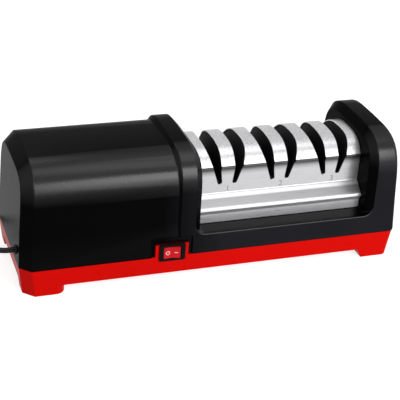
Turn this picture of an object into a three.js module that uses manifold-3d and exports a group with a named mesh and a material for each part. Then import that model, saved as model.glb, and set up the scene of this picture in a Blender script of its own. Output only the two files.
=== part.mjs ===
// Electric knife sharpener: black housing on a red base, a bright guide cover with three
// pairs of knife slots, six sprung abrasive wheels on one spindle, a mains motor, a rocker
// switch and a flat mains cord. Millimetres, +Z up, motor end at -X, front at -Y.
import * as THREE from "three";
import { mergeVertices } from "three/addons/utils/BufferGeometryUtils.js";
import Module from "manifold-3d";

const wasm = await Module();
wasm.setup();

// Fits
const partGap = 0.3;
const cutMargin = 1;
const smallGap = 0.05;
const shaftGap = 0.06;

// Whole object
const bodyLength = 322;
const bodyDepth = 109;
const crestHeight = 111.5;
const borderHeight = 24.6;
const wallThickness = 2.6;

// Arched section of the housing: straight leaning walls, then a round-shouldered roof
const archRise = 54.9;
const archPower = 4;
const archSteps = 10;
const roundFine = 28;
const roundPlain = 20;
const roundSmall = 14;
const wallLean = 0.033;

// Motor cover, its step below the collar and its chamfered end
const coverDrop = 3.4;
const coverInset = 0.3;
const coverLean = 0.085;
const endChamferLength = 8.8;
const endChamferDepth = 8.6;
const leftEndLean = 0.047;
const rightEndLean = 0.062;

// Collar and end fin with the open bay between them
const motorSectionShare = 0.43975;
const finSectionLength = 22.2;
const sillHeight = 41.4;
const bayCornerRadius = 9;
const ribBevelLength = 5.8;
const ribBevelDepth = 6.5;
const collarTopWidth = 12.6;
const collarBevel = 3.6;
const finEdgeRadius = 3.2;
const finEdgeSteps = 3;

// Base tray
const bellyHeight = 8.8;
const padStandOff = 0.6;
const baseEndTaper = 3;
const baseSideTaper = 1.6;
const baseCornerRadius = 5;
const baseFloor = 2.4;
const leftFootLength = 36.4;
const rightFootLength = 31.6;
const footSlopeRun = 4;
const footDepth = 22;
const footPlanRadius = 8;
const lipHeight = 3;
const lipThickness = 1.6;
const lipSetIn = 1.5;

// Foot pads
const padRadius = 6.5;
const padSeat = 1;
const padInset = 13;
const padInsetDepth = 11.5;

// Switch opening in the front wall
const switchFromCollar = 6.4;
const switchCentreZ = 28.6;
const bezelWidth = 21.9;
const bezelHeight = 15;
const bezelStandOff = 1.4;
const bezelRadius = 1.2;
const switchBodyWidth = 18.8;
const switchBodyHeight = 12.9;
const switchBodyDepth = 15;
const rockerWidth = 14.4;
const rockerHeight = 10.2;
const rockerTravel = 10;
const rockerReach = 2.6;
const rockerDish = 1.3;
const rockerEndRelief = 0.35;
const rockerPivotDepth = 4;
const tabWidth = 27.6;
const tabTop = 36.6;
const notchWidth = 34;
const notchTop = 41.0;
const notchDepth = 1.1;
const terminalWidth = 4.8;
const terminalThickness = 0.8;
const terminalLength = 9;
const terminalSpacing = 7;

// Guide cover and its three stages
const coverSheet = 1;
const guideHalfDepth = 29;
const guideCrest = 101.8;
const guideRise = 30.8;
const guidePower = 2.9;
const guideSteps = 9;
const guideEdge = 86.9;
const guideEdgeStep = 1.1;
const foldHeight = 63.2;
const noseHalfDepth = 39.8;
const noseTop = 55.6;
const noseBottom = 53.4;
const skirtHalfDepth = 37.4;
const skirtTop = 49.6;
const stageCount = 3;
const stageEndRoom = 26.9;
const stageShift = -0.7;
const slotFootOffset = 6.5;
const slotFootRadius = 2;
const slotFootHeight = 71.5;
const slotInnerTop = 5.9;
const slotInnerKnee = 84;
const slotLand = 5.45;
const slotTopHeight = guideCrest;
const slotWall = 1.5;
const linerSheet = 1.8;
const linerSlotInset = 0.35;
const linerFlange = 3;

// Wheels, spindle and springs
const axisHeight = 45;
const wheelRadius = 27;
const wheelFlankRadius = 20;
const wheelThickness = 4.4;
const wheelRim = 1.2;
const wheelOffset = 5;
const wheelTravel = 1;
const hubRadius = 8;
const hubLength = 2.2;
const spindleRadius = 4;
const spindleOverhang = 3;
const spindleEndGap = 3.3;
const flatDepth = 0.9;
const springLoops = 3;
const springStepsPerLoop = 12;
const springWire = 0.8;
const springRadius = 6.2;
const springSides = 6;
const clipThickness = 0.8;
const clipRadius = 6.4;
const bearingRadius = 9;
const bearingWidth = 5;
const leftBearingInset = 2.4;
const rightBearingInset = 8.3;
const pedestalWidth = 7;
const pedestalHalfDepth = 15;

// Motor
const motorEndRoom = 19;
const couplingRoom = 31;
const motorRadius = 27;
const motorSheet = 2;
const capThickness = 5;
const magnetThickness = 5;
const magnetSweepDegrees = 130;
const magnetSteps = 12;
const coreRadius = 18.4;
const coreInset = 23;
const coreEndRoom = 18;
const coreSlots = 10;
const coreSlotWidth = 2.4;
const coreSlotDepth = 5;
const windingRadius = 13;
const windingReach = 6;
const commutatorRadius = 8;
const commutatorInset = 3;
const commutatorLength = 12;
const brushSize = 6;
const brushReach = 15;
const motorShaftRadius = 3;
const shaftTail = 6;
const shaftNose = 16;
const fanRadius = 24;
const fanGap = 0.4;
const fanHubRadius = 6;
const fanBladeCount = 8;
const fanBladeThickness = 1.6;
const fanWidth = 7;
const fanDisc = 1.6;
const couplingRadius = 9;
const couplingSocket = 8;
const cradleLength = 9;
const cradleHalfDepth = 24;
const leftCradleInset = 5;
const rightCradleInset = 10;

// Suppressor on the motor circuit
const capacitorLength = 18;
const capacitorWidth = 8;
const capacitorHeight = 15;
const capacitorInset = 49;
const capacitorFromWall = 14.5;

// Screws
const screwHeadRadius = 3.4;
const screwHeadHeight = 2;
const screwShankRadius = 1.5;
const screwLength = 16;
const screwRecess = 0.9;
const screwRecessReach = 1.8;
const screwRecessWidth = 0.7;
const bossRadius = 4;
const bossHole = 1.6;
const screwFromEnd = 48;
const screwFromSide = 10.5;
const counterbore = 4;

// Mains cord, flat twin
const cordWidth = 5.4;
const cordThickness = 3.4;
const cordExitFromFront = 21.5;
const cordExitZ = 34;
const reliefRadius = 3.7;
const reliefLength = 1.6;
const reliefFlange = 5;
const reliefFlangeInset = 4.2;
const reliefInside = 7;
const coilCentreX = 0;
const coilFromRear = 64.5;
const coilRadius = 40;
const coilPitch = 6.2;
const coilLayer = 4;
const coilDip = 2.4;
const coilTurnsPerLayer = 3;
const coilStepsPerTurn = 24;
const cordInside = 13;
const cordTurn = [
  [0, 0],
  [-8, 0],
  [-15, 3],
  [-20.5, 9.5],
];
const cordDropX = -23;
const cordDrop = [
  [21, 33.4],
  [35, 29.4],
  [49, 20.8],
  [63, 10.4],
  [73, 4.4],
  [82, 2],
];
const cordReturn = [
  [-23, -22],
  [-17.5, -10.5],
  [-7, -2.5],
  [8, 0],
  [50, 0],
  [100, 0],
];
const cordSteps = 64;
const cordRest = 0.05;
const plugLength = 34;
const plugWidth = 16;
const plugHeight = 14;
const plugNose = 12;
const pinLength = 19;
const pinRadius = 2.1;
const pinSpacing = 18.6;
const plugFaceWidth = 28;

// Derived sizes
const halfLength = bodyLength / 2;
const halfDepth = bodyDepth / 2;
const wallTop = crestHeight - archRise;
const motorSectionLength = bodyLength * motorSectionShare;
const bayLeft = -halfLength + motorSectionLength;
const bayRight = halfLength - finSectionLength;
const collarRight = bayLeft + ribBevelLength;
const collarLeft = bayLeft - collarTopWidth;
const finInner = bayRight - ribBevelLength;
const guideLeft = collarRight + partGap;
const guideRight = finInner - partGap;
const guideBottom = sillHeight + partGap;
const stagePitch = (guideRight - guideLeft - 2 * stageEndRoom) / (stageCount - 1);
const middleStage = (guideLeft + guideRight) / 2 - stageShift;
const stages = Array.from({ length: stageCount }, (_, i) => {
  return middleStage + (i - (stageCount - 1) / 2) * stagePitch;
});
const slotOuterTop = stagePitch / 2 - slotLand;
const footInnerLeft = -halfLength + leftFootLength;
const footInnerRight = halfLength - rightFootLength;
const switchCentreX = collarLeft - switchFromCollar;
const spindleLeft = collarLeft - spindleOverhang;
const spindleRight = guideRight - spindleEndGap;
const leftBearingX = bayLeft - leftBearingInset;
const rightBearingX = guideRight - rightBearingInset;
const motorLeft = -halfLength + motorEndRoom;
const motorRight = collarLeft - couplingRoom;
const coreLeft = motorLeft + coreInset;
const coreRight = motorRight - coreEndRoom;
const commutatorLeft = motorLeft + commutatorInset;
const commutatorRight = commutatorLeft + commutatorLength;
const motorShaftLeft = motorLeft - shaftTail;
const motorShaftRight = motorRight + shaftNose;
const fanX = motorRight + fanGap;
const cradleLeftX = motorLeft + leftCradleInset;
const cradleRightX = motorRight - rightCradleInset;
const capacitorX = motorLeft + capacitorInset;
const capacitorY = halfDepth - capacitorFromWall;
const screwXLeft = -halfLength + screwFromEnd;
const screwXRight = halfLength - screwFromEnd;
const screwY = halfDepth - screwFromSide;
const cordExitY = -halfDepth + cordExitFromFront;
const coilCentreY = halfDepth + coilFromRear;
const springLength = 2 * (wheelOffset - wheelThickness / 2 - partGap);

const palette = {
  blackPlastic: 0x1d1d1f,
  redPlastic: 0xd6100c,
  brushedSteel: 0xc4c4c6,
  steel: 0x9a9ca0,
  darkSteel: 0x55585c,
  rubber: 0x161616,
  redLens: 0xe01c18,
  copper: 0xb36a3a,
  brass: 0xc9a45a,
  ferrite: 0x3a3a3c,
  carbon: 0x222222,
  diamond: 0x8d8f8a,
  ceramic: 0xe6e2d8,
  nylon: 0xe8e4da,
  yellow: 0xd8b21c,
};

// Solids and booleans
function solidOf(geometry) {
  const copy = geometry.index ? geometry.toNonIndexed() : geometry.clone();
  copy.deleteAttribute("normal");
  copy.deleteAttribute("uv");
  const merged = mergeVertices(copy, smallGap / 50);
  return new wasm.Manifold(
    new wasm.Mesh({
      numProp: 3,
      vertProperties: new Float32Array(merged.attributes.position.array),
      triVerts: new Uint32Array(merged.index.array),
    }),
  );
}

function join(...solids) {
  return solids.reduce((sum, next) => sum.add(next));
}

function cut(body, ...tools) {
  return tools.reduce((rest, tool) => rest.subtract(tool), body);
}

function geometryOf(solid) {
  const mesh = solid.getMesh();
  const geometry = new THREE.BufferGeometry();
  const positions = new Float32Array(mesh.numVert * 3);
  for (let i = 0; i < mesh.numVert; i += 1) {
    for (let k = 0; k < 3; k += 1) {
      positions[i * 3 + k] = mesh.vertProperties[i * mesh.numProp + k];
    }
  }
  geometry.setAttribute("position", new THREE.BufferAttribute(positions, 3));
  geometry.setIndex(new THREE.BufferAttribute(new Uint32Array(mesh.triVerts), 1));
  const flat = geometry.toNonIndexed();
  flat.computeVertexNormals();
  return flat;
}

// Outlines and swept shapes
function shapeOf(points) {
  return new THREE.Shape(points.map(([u, v]) => new THREE.Vector2(u, v)));
}

function alongX() {
  return new THREE.Matrix4().makeBasis(
    new THREE.Vector3(0, 1, 0),
    new THREE.Vector3(0, 0, 1),
    new THREE.Vector3(1, 0, 0),
  );
}

function alongY() {
  return new THREE.Matrix4().makeBasis(
    new THREE.Vector3(1, 0, 0),
    new THREE.Vector3(0, 0, 1),
    new THREE.Vector3(0, -1, 0),
  );
}

// An outline of (y, z) points run from x0 to x1, with an inset of its ends
function extrudeX(points, x0, x1, inset = 0, run = 0, segments = 1) {
  const depth = x1 - x0 - 2 * run;
  const geometry = new THREE.ExtrudeGeometry(shapeOf(points), {
    depth,
    steps: 1,
    curveSegments: 4,
    bevelEnabled: run > 0,
    bevelThickness: run,
    bevelSize: inset,
    bevelOffset: -inset,
    bevelSegments: segments,
  });
  geometry.translate(0, 0, x0 + run);
  return geometry.applyMatrix4(alongX());
}

// An outline of (x, z) points run from y0 to y1
function extrudeY(points, y0, y1) {
  const geometry = new THREE.ExtrudeGeometry(shapeOf(points), {
    depth: y1 - y0,
    steps: 1,
    bevelEnabled: false,
  });
  geometry.translate(0, 0, -y1);
  return geometry.applyMatrix4(alongY());
}

// An outline of (x, y) points run from z0 to z1
function extrudeZ(points, z0, z1) {
  const geometry = new THREE.ExtrudeGeometry(shapeOf(points), {
    depth: z1 - z0,
    steps: 1,
    bevelEnabled: false,
  });
  geometry.translate(0, 0, z0);
  return geometry;
}

function box(x0, x1, y0, y1, z0, z1) {
  const geometry = new THREE.BoxGeometry(x1 - x0, y1 - y0, z1 - z0);
  geometry.translate((x0 + x1) / 2, (y0 + y1) / 2, (z0 + z1) / 2);
  return solidOf(geometry);
}

// A (radius, x) profile turned about the X axis
function turnX(profile, segments) {
  const points = profile.map(([r, x]) => new THREE.Vector2(r, x));
  const geometry = new THREE.LatheGeometry(points, segments);
  const basis = new THREE.Matrix4().makeBasis(
    new THREE.Vector3(0, 1, 0),
    new THREE.Vector3(1, 0, 0),
    new THREE.Vector3(0, 0, -1),
  );
  return geometry.applyMatrix4(basis);
}

// A (radius, z) profile turned about the Z axis
function turnZ(profile, segments) {
  const points = profile.map(([r, z]) => new THREE.Vector2(r, z));
  return new THREE.LatheGeometry(points, segments).rotateX(Math.PI / 2);
}

function cylinderX(radius, x0, x1, segments) {
  return solidOf(turnX([[0, x0], [radius, x0], [radius, x1], [0, x1]], segments));
}

function cylinderZ(radius, z0, z1, segments) {
  return solidOf(turnZ([[0, z0], [radius, z0], [radius, z1], [0, z1]], segments));
}

function ringX(inner, outer, x0, x1, segments) {
  const profile = [[inner, x0], [outer, x0], [outer, x1], [inner, x1], [inner, x0]];
  return solidOf(turnX(profile, segments));
}

// A closed outline moved inwards by a distance
function insetOutline(points, distance) {
  const count = points.length;
  return points.map((point, i) => {
    const before = points[(i + count - 1) % count];
    const after = points[(i + 1) % count];
    const a = new THREE.Vector2(point[0] - before[0], point[1] - before[1]).normalize();
    const b = new THREE.Vector2(after[0] - point[0], after[1] - point[1]).normalize();
    const share = distance / (1 + a.dot(b));
    return [point[0] - (a.y + b.y) * share, point[1] + (a.x + b.x) * share];
  });
}

// The front half of an arch from its crest down to the wall, as (y, z) points
function archHalf(half, top, rise, power, count) {
  return Array.from({ length: count + 1 }, (_, i) => {
    const angle = (i / count) * (Math.PI / 2);
    const y = half * Math.sin(angle) ** (2 / power);
    const z = top - rise + rise * Math.cos(angle) ** (2 / power);
    return [y, z];
  });
}

// The housing's section: base edge, leaning walls and arched roof, counter-clockwise
function housingOutline(half, top, lean, bottom) {
  const shoulder = wallTop;
  const upper = half - lean * (shoulder - borderHeight);
  const arch = archHalf(upper, top, top - shoulder, archPower, archSteps);
  const right = arch.slice().reverse();
  const left = arch.slice(1).map(([y, z]) => [-y, z]);
  const foot = half + lean * (borderHeight - bottom);
  return [[-foot, bottom], [foot, bottom], ...right, ...left];
}

// Leans the end of a body in x as it rises
function leanEnds(geometry, leftLean, rightLean) {
  const position = geometry.attributes.position;
  const leftLimit = -halfLength + endChamferLength * 1.5;
  const rightLimit = halfLength - finEdgeRadius * 1.5;
  for (let i = 0; i < position.count; i += 1) {
    const x = position.getX(i);
    const rise = position.getZ(i) - borderHeight;
    if (x < leftLimit) position.setX(i, x + leftLean * rise);
    if (x > rightLimit) position.setX(i, x - rightLean * rise);
  }
  return geometry;
}

// Upper housing: its end chamfers run straight down to the base edge
function motorCoverBody(inset, right, bottom) {
  const half = halfDepth - coverInset - inset;
  const top = crestHeight - coverDrop - inset;
  const outline = housingOutline(half, top, coverLean, bottom - endChamferDepth * 2);
  const left = -halfLength + inset;
  const end = extrudeX(outline, left, right, endChamferDepth, endChamferLength);
  const square = extrudeX(outline, left + endChamferLength * 2, right);
  const kept = box(-bodyLength, bodyLength, -bodyDepth, bodyDepth, bottom, crestHeight);
  return join(solidOf(leanEnds(end, leftEndLean, 0)), solidOf(square)).intersect(kept);
}

function bayOutline(left, right, radius) {
  const top = crestHeight + archRise;
  const points = [[right, top], [left, top]];
  const steps = 5;
  for (let i = 0; i <= steps; i += 1) {
    const angle = Math.PI + (i / steps) * (Math.PI / 2);
    points.push([
      left + radius + radius * Math.cos(angle),
      sillHeight + radius + radius * Math.sin(angle),
    ]);
  }
  for (let i = 0; i <= steps; i += 1) {
    const angle = Math.PI * 1.5 + (i / steps) * (Math.PI / 2);
    points.push([
      right - radius + radius * Math.cos(angle),
      sillHeight + radius + radius * Math.sin(angle),
    ]);
  }
  return points;
}

function frameBody() {
  const outline = housingOutline(halfDepth, crestHeight, wallLean, borderHeight);
  const skin = solidOf(extrudeX(outline, collarLeft, halfLength - finEdgeRadius * 2));
  const bay = solidOf(
    extrudeY(bayOutline(bayLeft, bayRight, bayCornerRadius), -bodyDepth, bodyDepth),
  );
  const finInside = solidOf(
    extrudeX(outline, finInner, halfLength - finEdgeRadius, ribBevelDepth, ribBevelLength),
  );
  const finOutside = extrudeX(
    outline,
    bayRight - finEdgeRadius,
    halfLength,
    finEdgeRadius,
    finEdgeRadius,
    finEdgeSteps,
  );
  const outside = solidOf(leanEnds(finOutside, 0, rightEndLean));
  const finEdge = box(
    bayRight,
    halfLength + cutMargin,
    -bodyDepth,
    bodyDepth,
    borderHeight,
    crestHeight + cutMargin,
  );
  const collarInside = solidOf(
    extrudeX(outline, collarLeft, collarRight, ribBevelDepth, ribBevelLength),
  );
  const collarOutside = solidOf(
    extrudeX(outline, collarLeft - collarBevel, bayLeft, coverDrop + coverInset, collarBevel),
  );
  const keepInside = box(
    bayLeft - ribBevelLength,
    collarRight,
    -bodyDepth,
    bodyDepth,
    0,
    crestHeight + cutMargin,
  );
  const finSkin = skin.intersect(
    box(-halfLength, finInner + ribBevelLength * 2, -bodyDepth, bodyDepth, 0, bodyLength),
  );
  const finInsideKept = finInside.intersect(
    box(finInner, finInner + ribBevelLength * 2, -bodyDepth, bodyDepth, 0, bodyLength),
  );
  return join(
    cut(finSkin, bay),
    outside.intersect(finEdge),
    finInsideKept,
    collarInside.intersect(keepInside),
    collarOutside,
  );
}

function housingCavity() {
  const low = borderHeight - cutMargin;
  const bayWall = bayLeft - wallThickness;
  const cover = motorCoverBody(wallThickness, bayWall, low);
  const collarOutline = housingOutline(
    halfDepth - wallThickness,
    crestHeight - wallThickness,
    wallLean,
    low,
  );
  const collarRoom = solidOf(extrudeX(collarOutline, collarLeft, bayWall));
  const narrow = housingOutline(
    halfDepth - ribBevelDepth - wallThickness,
    crestHeight - ribBevelDepth - wallThickness,
    coverLean,
    low,
  );
  const collar = extrudeX(narrow, bayWall - cutMargin, collarRight - wallThickness);
  const fin = extrudeX(
    narrow,
    finInner + wallThickness,
    halfLength - finEdgeRadius - wallThickness,
  );
  const finHollow = solidOf(fin).intersect(
    box(
      finInner,
      halfLength - wallThickness - rightEndLean * archRise * 2,
      -bodyDepth,
      bodyDepth,
      0,
      crestHeight,
    ),
  );
  const sill = box(
    collarRight - wallThickness - cutMargin,
    halfLength - wallThickness * 2,
    -halfDepth + wallThickness + partGap,
    halfDepth - wallThickness - partGap,
    low,
    sillHeight - wallThickness,
  );
  return join(cover, collarRoom, solidOf(collar), finHollow, sill, spindlePassage());
}

function spindlePassage() {
  return box(
    collarRight - wallThickness - cutMargin,
    collarRight + cutMargin,
    -pedestalHalfDepth,
    pedestalHalfDepth,
    borderHeight,
    axisHeight + bearingRadius + wallThickness,
  );
}

function sillWindow() {
  return box(
    collarRight - cutMargin,
    guideRight - linerFlange,
    -skirtHalfDepth + linerFlange * 2,
    skirtHalfDepth - linerFlange * 2,
    sillHeight - wallThickness - cutMargin,
    sillHeight + cutMargin,
  );
}

function switchNotch() {
  const left = switchCentreX - notchWidth / 2;
  const recess = box(
    left,
    left + notchWidth,
    -halfDepth - cutMargin,
    -halfDepth + notchDepth + wallLean * (notchTop - borderHeight) + coverInset,
    borderHeight - cutMargin,
    notchTop,
  );
  const through = box(
    switchCentreX - tabWidth / 2 - partGap,
    switchCentreX + tabWidth / 2 + partGap,
    -halfDepth - cutMargin,
    -halfDepth + wallThickness * 3,
    borderHeight - cutMargin,
    tabTop + partGap,
  );
  return join(recess, through);
}

function screwBoss(x, side) {
  const top = wallTop;
  const foot = borderHeight - partGap;
  const high = x < 0 ? top : sillHeight - smallGap;
  const low = borderHeight + lipHeight + cutMargin;
  const middle = halfDepth - wallThickness / 2 - (x < 0 ? coverInset : 0);
  const wallAt = (z) => middle - (x < 0 ? coverLean : wallLean) * (z - borderHeight);
  const y = side * screwY;
  const post = cylinderZ(bossRadius, foot, high, roundPlain);
  const outline = [
    [screwY, low],
    [wallAt(low), low],
    [wallAt(high), high],
    [screwY, high],
  ].map(([v, z]) => [side * v, z]);
  const ordered = side > 0 ? outline : outline.reverse();
  const rib = solidOf(extrudeX(ordered, x - wallThickness / 2, x + wallThickness / 2));
  const hole = cylinderZ(bossHole, foot - cutMargin, foot + screwLength, roundPlain);
  return { boss: join(post.translate([x, y, 0]), rib), hole: hole.translate([x, y, 0]) };
}

// Room for the tray's locating lip inside the housing's lower edge
function lipGroove() {
  const out = wallThickness + lipSetIn - partGap;
  const back = wallThickness + lipSetIn + lipThickness + partGap;
  const low = borderHeight - cutMargin;
  const high = borderHeight + lipHeight + partGap;
  const ring = solidOf(extrudeZ(planOutline(out, out), low, high));
  return cut(ring, solidOf(extrudeZ(planOutline(back, back), low - cutMargin, high + cutMargin)));
}

function eachScrew(make) {
  return [screwXLeft, screwXRight].flatMap((x) => [-1, 1].map((side) => make(x, side)));
}

// Bore for the strain relief with a wider seat for its inner flange
function cordHole() {
  const bore = cylinderX(
    reliefRadius + partGap,
    -halfLength - cutMargin,
    -halfLength + wallThickness * 3,
    roundPlain,
  );
  const seat = cylinderX(
    reliefFlange + partGap,
    -halfLength + reliefFlangeInset + leftEndLean * (cordExitZ - borderHeight) - partGap,
    -halfLength + reliefInside * 2,
    roundPlain,
  );
  return join(bore, seat).translate([0, cordExitY, cordExitZ]);
}

function upperHousing() {
  const bosses = eachScrew(screwBoss);
  const outer = join(motorCoverBody(0, bayLeft - cutMargin, borderHeight), frameBody());
  const hollow = cut(outer, housingCavity(), lipGroove(), sillWindow(), switchNotch());
  const bossed = join(hollow, ...bosses.map((b) => b.boss));
  return cut(bossed, ...bosses.map((b) => b.hole), cordHole());
}

// Base tray
function planOutline(inset, end) {
  const x = halfLength - end;
  const y = halfDepth - inset;
  const r = baseCornerRadius;
  const points = [
    [-x + endChamferLength, -y],
    [x - r, -y],
  ];
  const steps = 4;
  for (let i = 1; i <= steps; i += 1) {
    const angle = -Math.PI / 2 + (i / steps) * (Math.PI / 2);
    points.push([x - r + r * Math.cos(angle), -y + r + r * Math.sin(angle)]);
  }
  for (let i = 0; i <= steps; i += 1) {
    const angle = (i / steps) * (Math.PI / 2);
    points.push([x - r + r * Math.cos(angle), y - r + r * Math.sin(angle)]);
  }
  points.push([-x + endChamferLength, y]);
  points.push([-x, y - endChamferDepth]);
  points.push([-x, -y + endChamferDepth]);
  return points;
}

// The tray tapers inwards towards its feet
function taperedPlan(inset, end, z0, z1) {
  const geometry = extrudeZ(planOutline(inset, end), z0, z1);
  const position = geometry.attributes.position;
  for (let i = 0; i < position.count; i += 1) {
    const down = (borderHeight - position.getZ(i)) / borderHeight;
    position.setX(i, position.getX(i) * (1 - (down * baseEndTaper) / halfLength));
    position.setY(i, position.getY(i) * (1 - (down * baseSideTaper) / halfDepth));
  }
  return solidOf(geometry);
}

function bellyChannels() {
  const low = -cutMargin;
  const r = footPlanRadius;
  const across = [
    [footInnerLeft, low],
    [footInnerRight + footSlopeRun, low],
    [footInnerRight + footSlopeRun, padStandOff],
    [footInnerRight, bellyHeight],
    [footInnerLeft, bellyHeight],
  ];
  const front = solidOf(extrudeY(across, -bodyDepth, bodyDepth));
  const clear = halfDepth - footDepth;
  const along = box(-bodyLength, bodyLength, -clear, clear, low, bellyHeight);
  const corner = box(
    footInnerLeft - r,
    footInnerLeft + cutMargin,
    -bodyDepth,
    bodyDepth,
    low,
    bellyHeight,
  );
  const outerRow = halfDepth - baseSideTaper;
  const rounds = [-1, 1].map((side) => {
    const centre = cylinderZ(r, low, bellyHeight + cutMargin, 32);
    const y0 = side * (outerRow - r);
    const zone = box(
      footInnerLeft - r,
      footInnerLeft + cutMargin,
      Math.min(y0, side * bodyDepth),
      Math.max(y0, side * bodyDepth),
      low,
      bellyHeight,
    );
    return cut(corner.intersect(zone), centre.translate([footInnerLeft - r, y0, 0]));
  });
  return join(front, along, ...rounds);
}

function trayCavity() {
  const floor = bellyHeight + baseFloor;
  return taperedPlan(wallThickness, wallThickness, floor, borderHeight + cutMargin);
}

function trayLip() {
  const root = wallThickness - partGap;
  const tip = wallThickness + lipSetIn;
  const low = borderHeight - lipHeight;
  const seat = borderHeight - partGap;
  const ledge = solidOf(extrudeZ(planOutline(root, root), low, seat));
  const rim = solidOf(extrudeZ(planOutline(tip, tip), low, borderHeight + lipHeight));
  const core = extrudeZ(
    planOutline(tip + lipThickness, tip + lipThickness),
    low - cutMargin,
    borderHeight + lipHeight + cutMargin,
  );
  return cut(join(ledge, rim), solidOf(core));
}

function switchTab() {
  const left = switchCentreX - tabWidth / 2;
  return box(
    left,
    left + tabWidth,
    -halfDepth + coverInset,
    -halfDepth + wallThickness,
    borderHeight - lipHeight,
    tabTop,
  );
}

function switchHole() {
  const w = switchBodyWidth / 2 + partGap;
  const h = switchBodyHeight / 2 + partGap;
  return box(
    switchCentreX - w,
    switchCentreX + w,
    -halfDepth - cutMargin,
    -halfDepth + wallThickness * 3,
    switchCentreZ - h,
    switchCentreZ + h,
  );
}

function screwPillar(x, side) {
  const y = side * screwY;
  const top = borderHeight - 2 * partGap;
  const post = cylinderZ(bossRadius, bellyHeight, top, roundPlain);
  const hole = cylinderZ(screwShankRadius + partGap, 0, borderHeight + cutMargin, roundSmall);
  const sink = cylinderZ(screwHeadRadius + partGap, 0, bellyHeight + counterbore - smallGap, roundPlain);
  return {
    post: post.translate([x, y, 0]),
    hole: join(hole, sink).translate([x, y, 0]),
  };
}

function padSites() {
  const x0 = halfLength - baseEndTaper - padInset;
  const y0 = halfDepth - baseSideTaper - padInsetDepth;
  return [
    ["front_left", -x0, -y0],
    ["front_right", x0, -y0],
    ["rear_left", -x0, y0],
    ["rear_right", x0, y0],
  ];
}

function padRecess(x, y) {
  const hole = cylinderZ(
    padRadius + partGap,
    -cutMargin,
    padStandOff + padSeat,
    roundPlain,
  );
  return hole.translate([x, y, 0]);
}

function ventSlots() {
  const count = 6;
  const pitch = 6;
  const length = 26;
  return Array.from({ length: count }, (_, i) => {
    const x = motorLeft + motorSheet * 4 + i * pitch;
    return box(
      x,
      x + pitch / 2,
      -length / 2,
      length / 2,
      bellyHeight - cutMargin,
      bellyHeight + baseFloor + cutMargin,
    );
  });
}

function baseTray() {
  const pillars = eachScrew(screwPillar);
  const solid = taperedPlan(0, 0, padStandOff, borderHeight - partGap);
  const shell = cut(solid, bellyChannels(), trayCavity());
  const notched = switchNotchRelief();
  const lip = cut(trayLip(), notched, lipClearances());
  const whole = join(shell, lip, switchTab(), ...pillars.map((p) => p.post));
  return cut(
    whole,
    switchHole(),
    ...pillars.map((p) => p.hole),
    ...padSites().map(([, x, y]) => padRecess(x, y)),
    ...ventSlots(),
  );
}

// The lip stops short of the switch and of the cord entry
function switchNotchRelief() {
  return box(
    switchCentreX - tabWidth / 2 - wallThickness,
    switchCentreX + tabWidth / 2 + wallThickness,
    -halfDepth - cutMargin,
    -halfDepth + wallThickness * 3,
    borderHeight - partGap,
    crestHeight,
  );
}

function lipClearances() {
  const width = bossRadius + partGap * 2;
  const posts = eachScrew((x, side) => {
    const y0 = side * (screwY - width);
    const y1 = side * bodyDepth;
    return box(
      x - width,
      x + width,
      Math.min(y0, y1),
      Math.max(y0, y1),
      borderHeight - partGap * 2,
      crestHeight,
    );
  });
  return join(...posts);
}

function footPad() {
  const top = padStandOff + padSeat - partGap;
  return cylinderZ(padRadius, 0, top, roundPlain);
}

// Guide cover: an outline of the sheet's outer face, and slots cut through it
function guideFront() {
  return [
    [skirtHalfDepth, guideBottom],
    [skirtHalfDepth, skirtTop],
    [noseHalfDepth, noseBottom],
    [noseHalfDepth, noseTop],
    [guideHalfDepth + coverSheet, foldHeight],
    [guideHalfDepth, foldHeight + coverSheet],
    [guideHalfDepth, guideEdge - guideEdgeStep],
    [guideHalfDepth + guideEdgeStep, guideEdge],
  ];
}

function guideOutline() {
  const half = guideHalfDepth + guideEdgeStep + coverSheet / 2;
  const arch = archHalf(half, guideCrest, guideRise, guidePower, guideSteps);
  const roof = arch.filter(([, z]) => z > guideEdge + coverSheet / 2);
  const front = guideFront().map(([y, z]) => [-y, z]);
  const leftRoof = roof.slice(1).reverse().map(([y, z]) => [-y, z]);
  const rear = guideFront().reverse();
  return [...front, ...leftRoof, ...roof, ...rear].reverse();
}

function lowered(outline, bottom) {
  const limit = guideBottom + linerSheet * 3;
  return outline.map(([y, z]) => [y, z < limit && z < skirtTop - linerSheet ? bottom : z]);
}

function slotPoints(inset) {
  const r = slotFootRadius - inset;
  const foot = slotFootHeight + slotFootRadius;
  const points = [];
  const steps = 4;
  for (let i = 0; i <= steps; i += 1) {
    const angle = Math.PI + (i / steps) * Math.PI;
    points.push([slotFootOffset + r * Math.cos(angle), foot + r * Math.sin(angle)]);
  }
  points.push([slotOuterTop - inset, slotTopHeight]);
  points.push([slotOuterTop - inset + slotFootRadius, slotTopHeight + slotFootRadius * 3]);
  points.push([slotInnerTop + inset, slotTopHeight + slotFootRadius * 3]);
  points.push([slotInnerTop + inset, slotInnerKnee]);
  return points;
}

function slotTool(centre, side, inset, y0, y1) {
  const points = slotPoints(inset).map(([x, z]) => [centre + side * x, z]);
  const ordered = side > 0 ? points : points.reverse();
  return solidOf(extrudeY(ordered, y0, y1));
}

function eachSlot(make) {
  return stages.flatMap((centre) => [-1, 1].map((side) => make(centre, side)));
}

function guideCover() {
  const outline = guideOutline();
  const outer = solidOf(extrudeX(outline, guideLeft, guideRight));
  const hollow = lowered(insetOutline(outline, coverSheet), guideBottom - cutMargin);
  const inner = solidOf(extrudeX(hollow, guideLeft - cutMargin, guideRight + cutMargin));
  const slots = eachSlot((c, s) => slotTool(c, s, 0, -bodyDepth, bodyDepth));
  const bay = bayOutline(bayLeft + partGap, bayRight - partGap, bayCornerRadius);
  const room = solidOf(extrudeY(bay, -bodyDepth, bodyDepth)).translate([0, 0, partGap]);
  return cut(outer, inner, ...slots).intersect(room);
}

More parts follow.
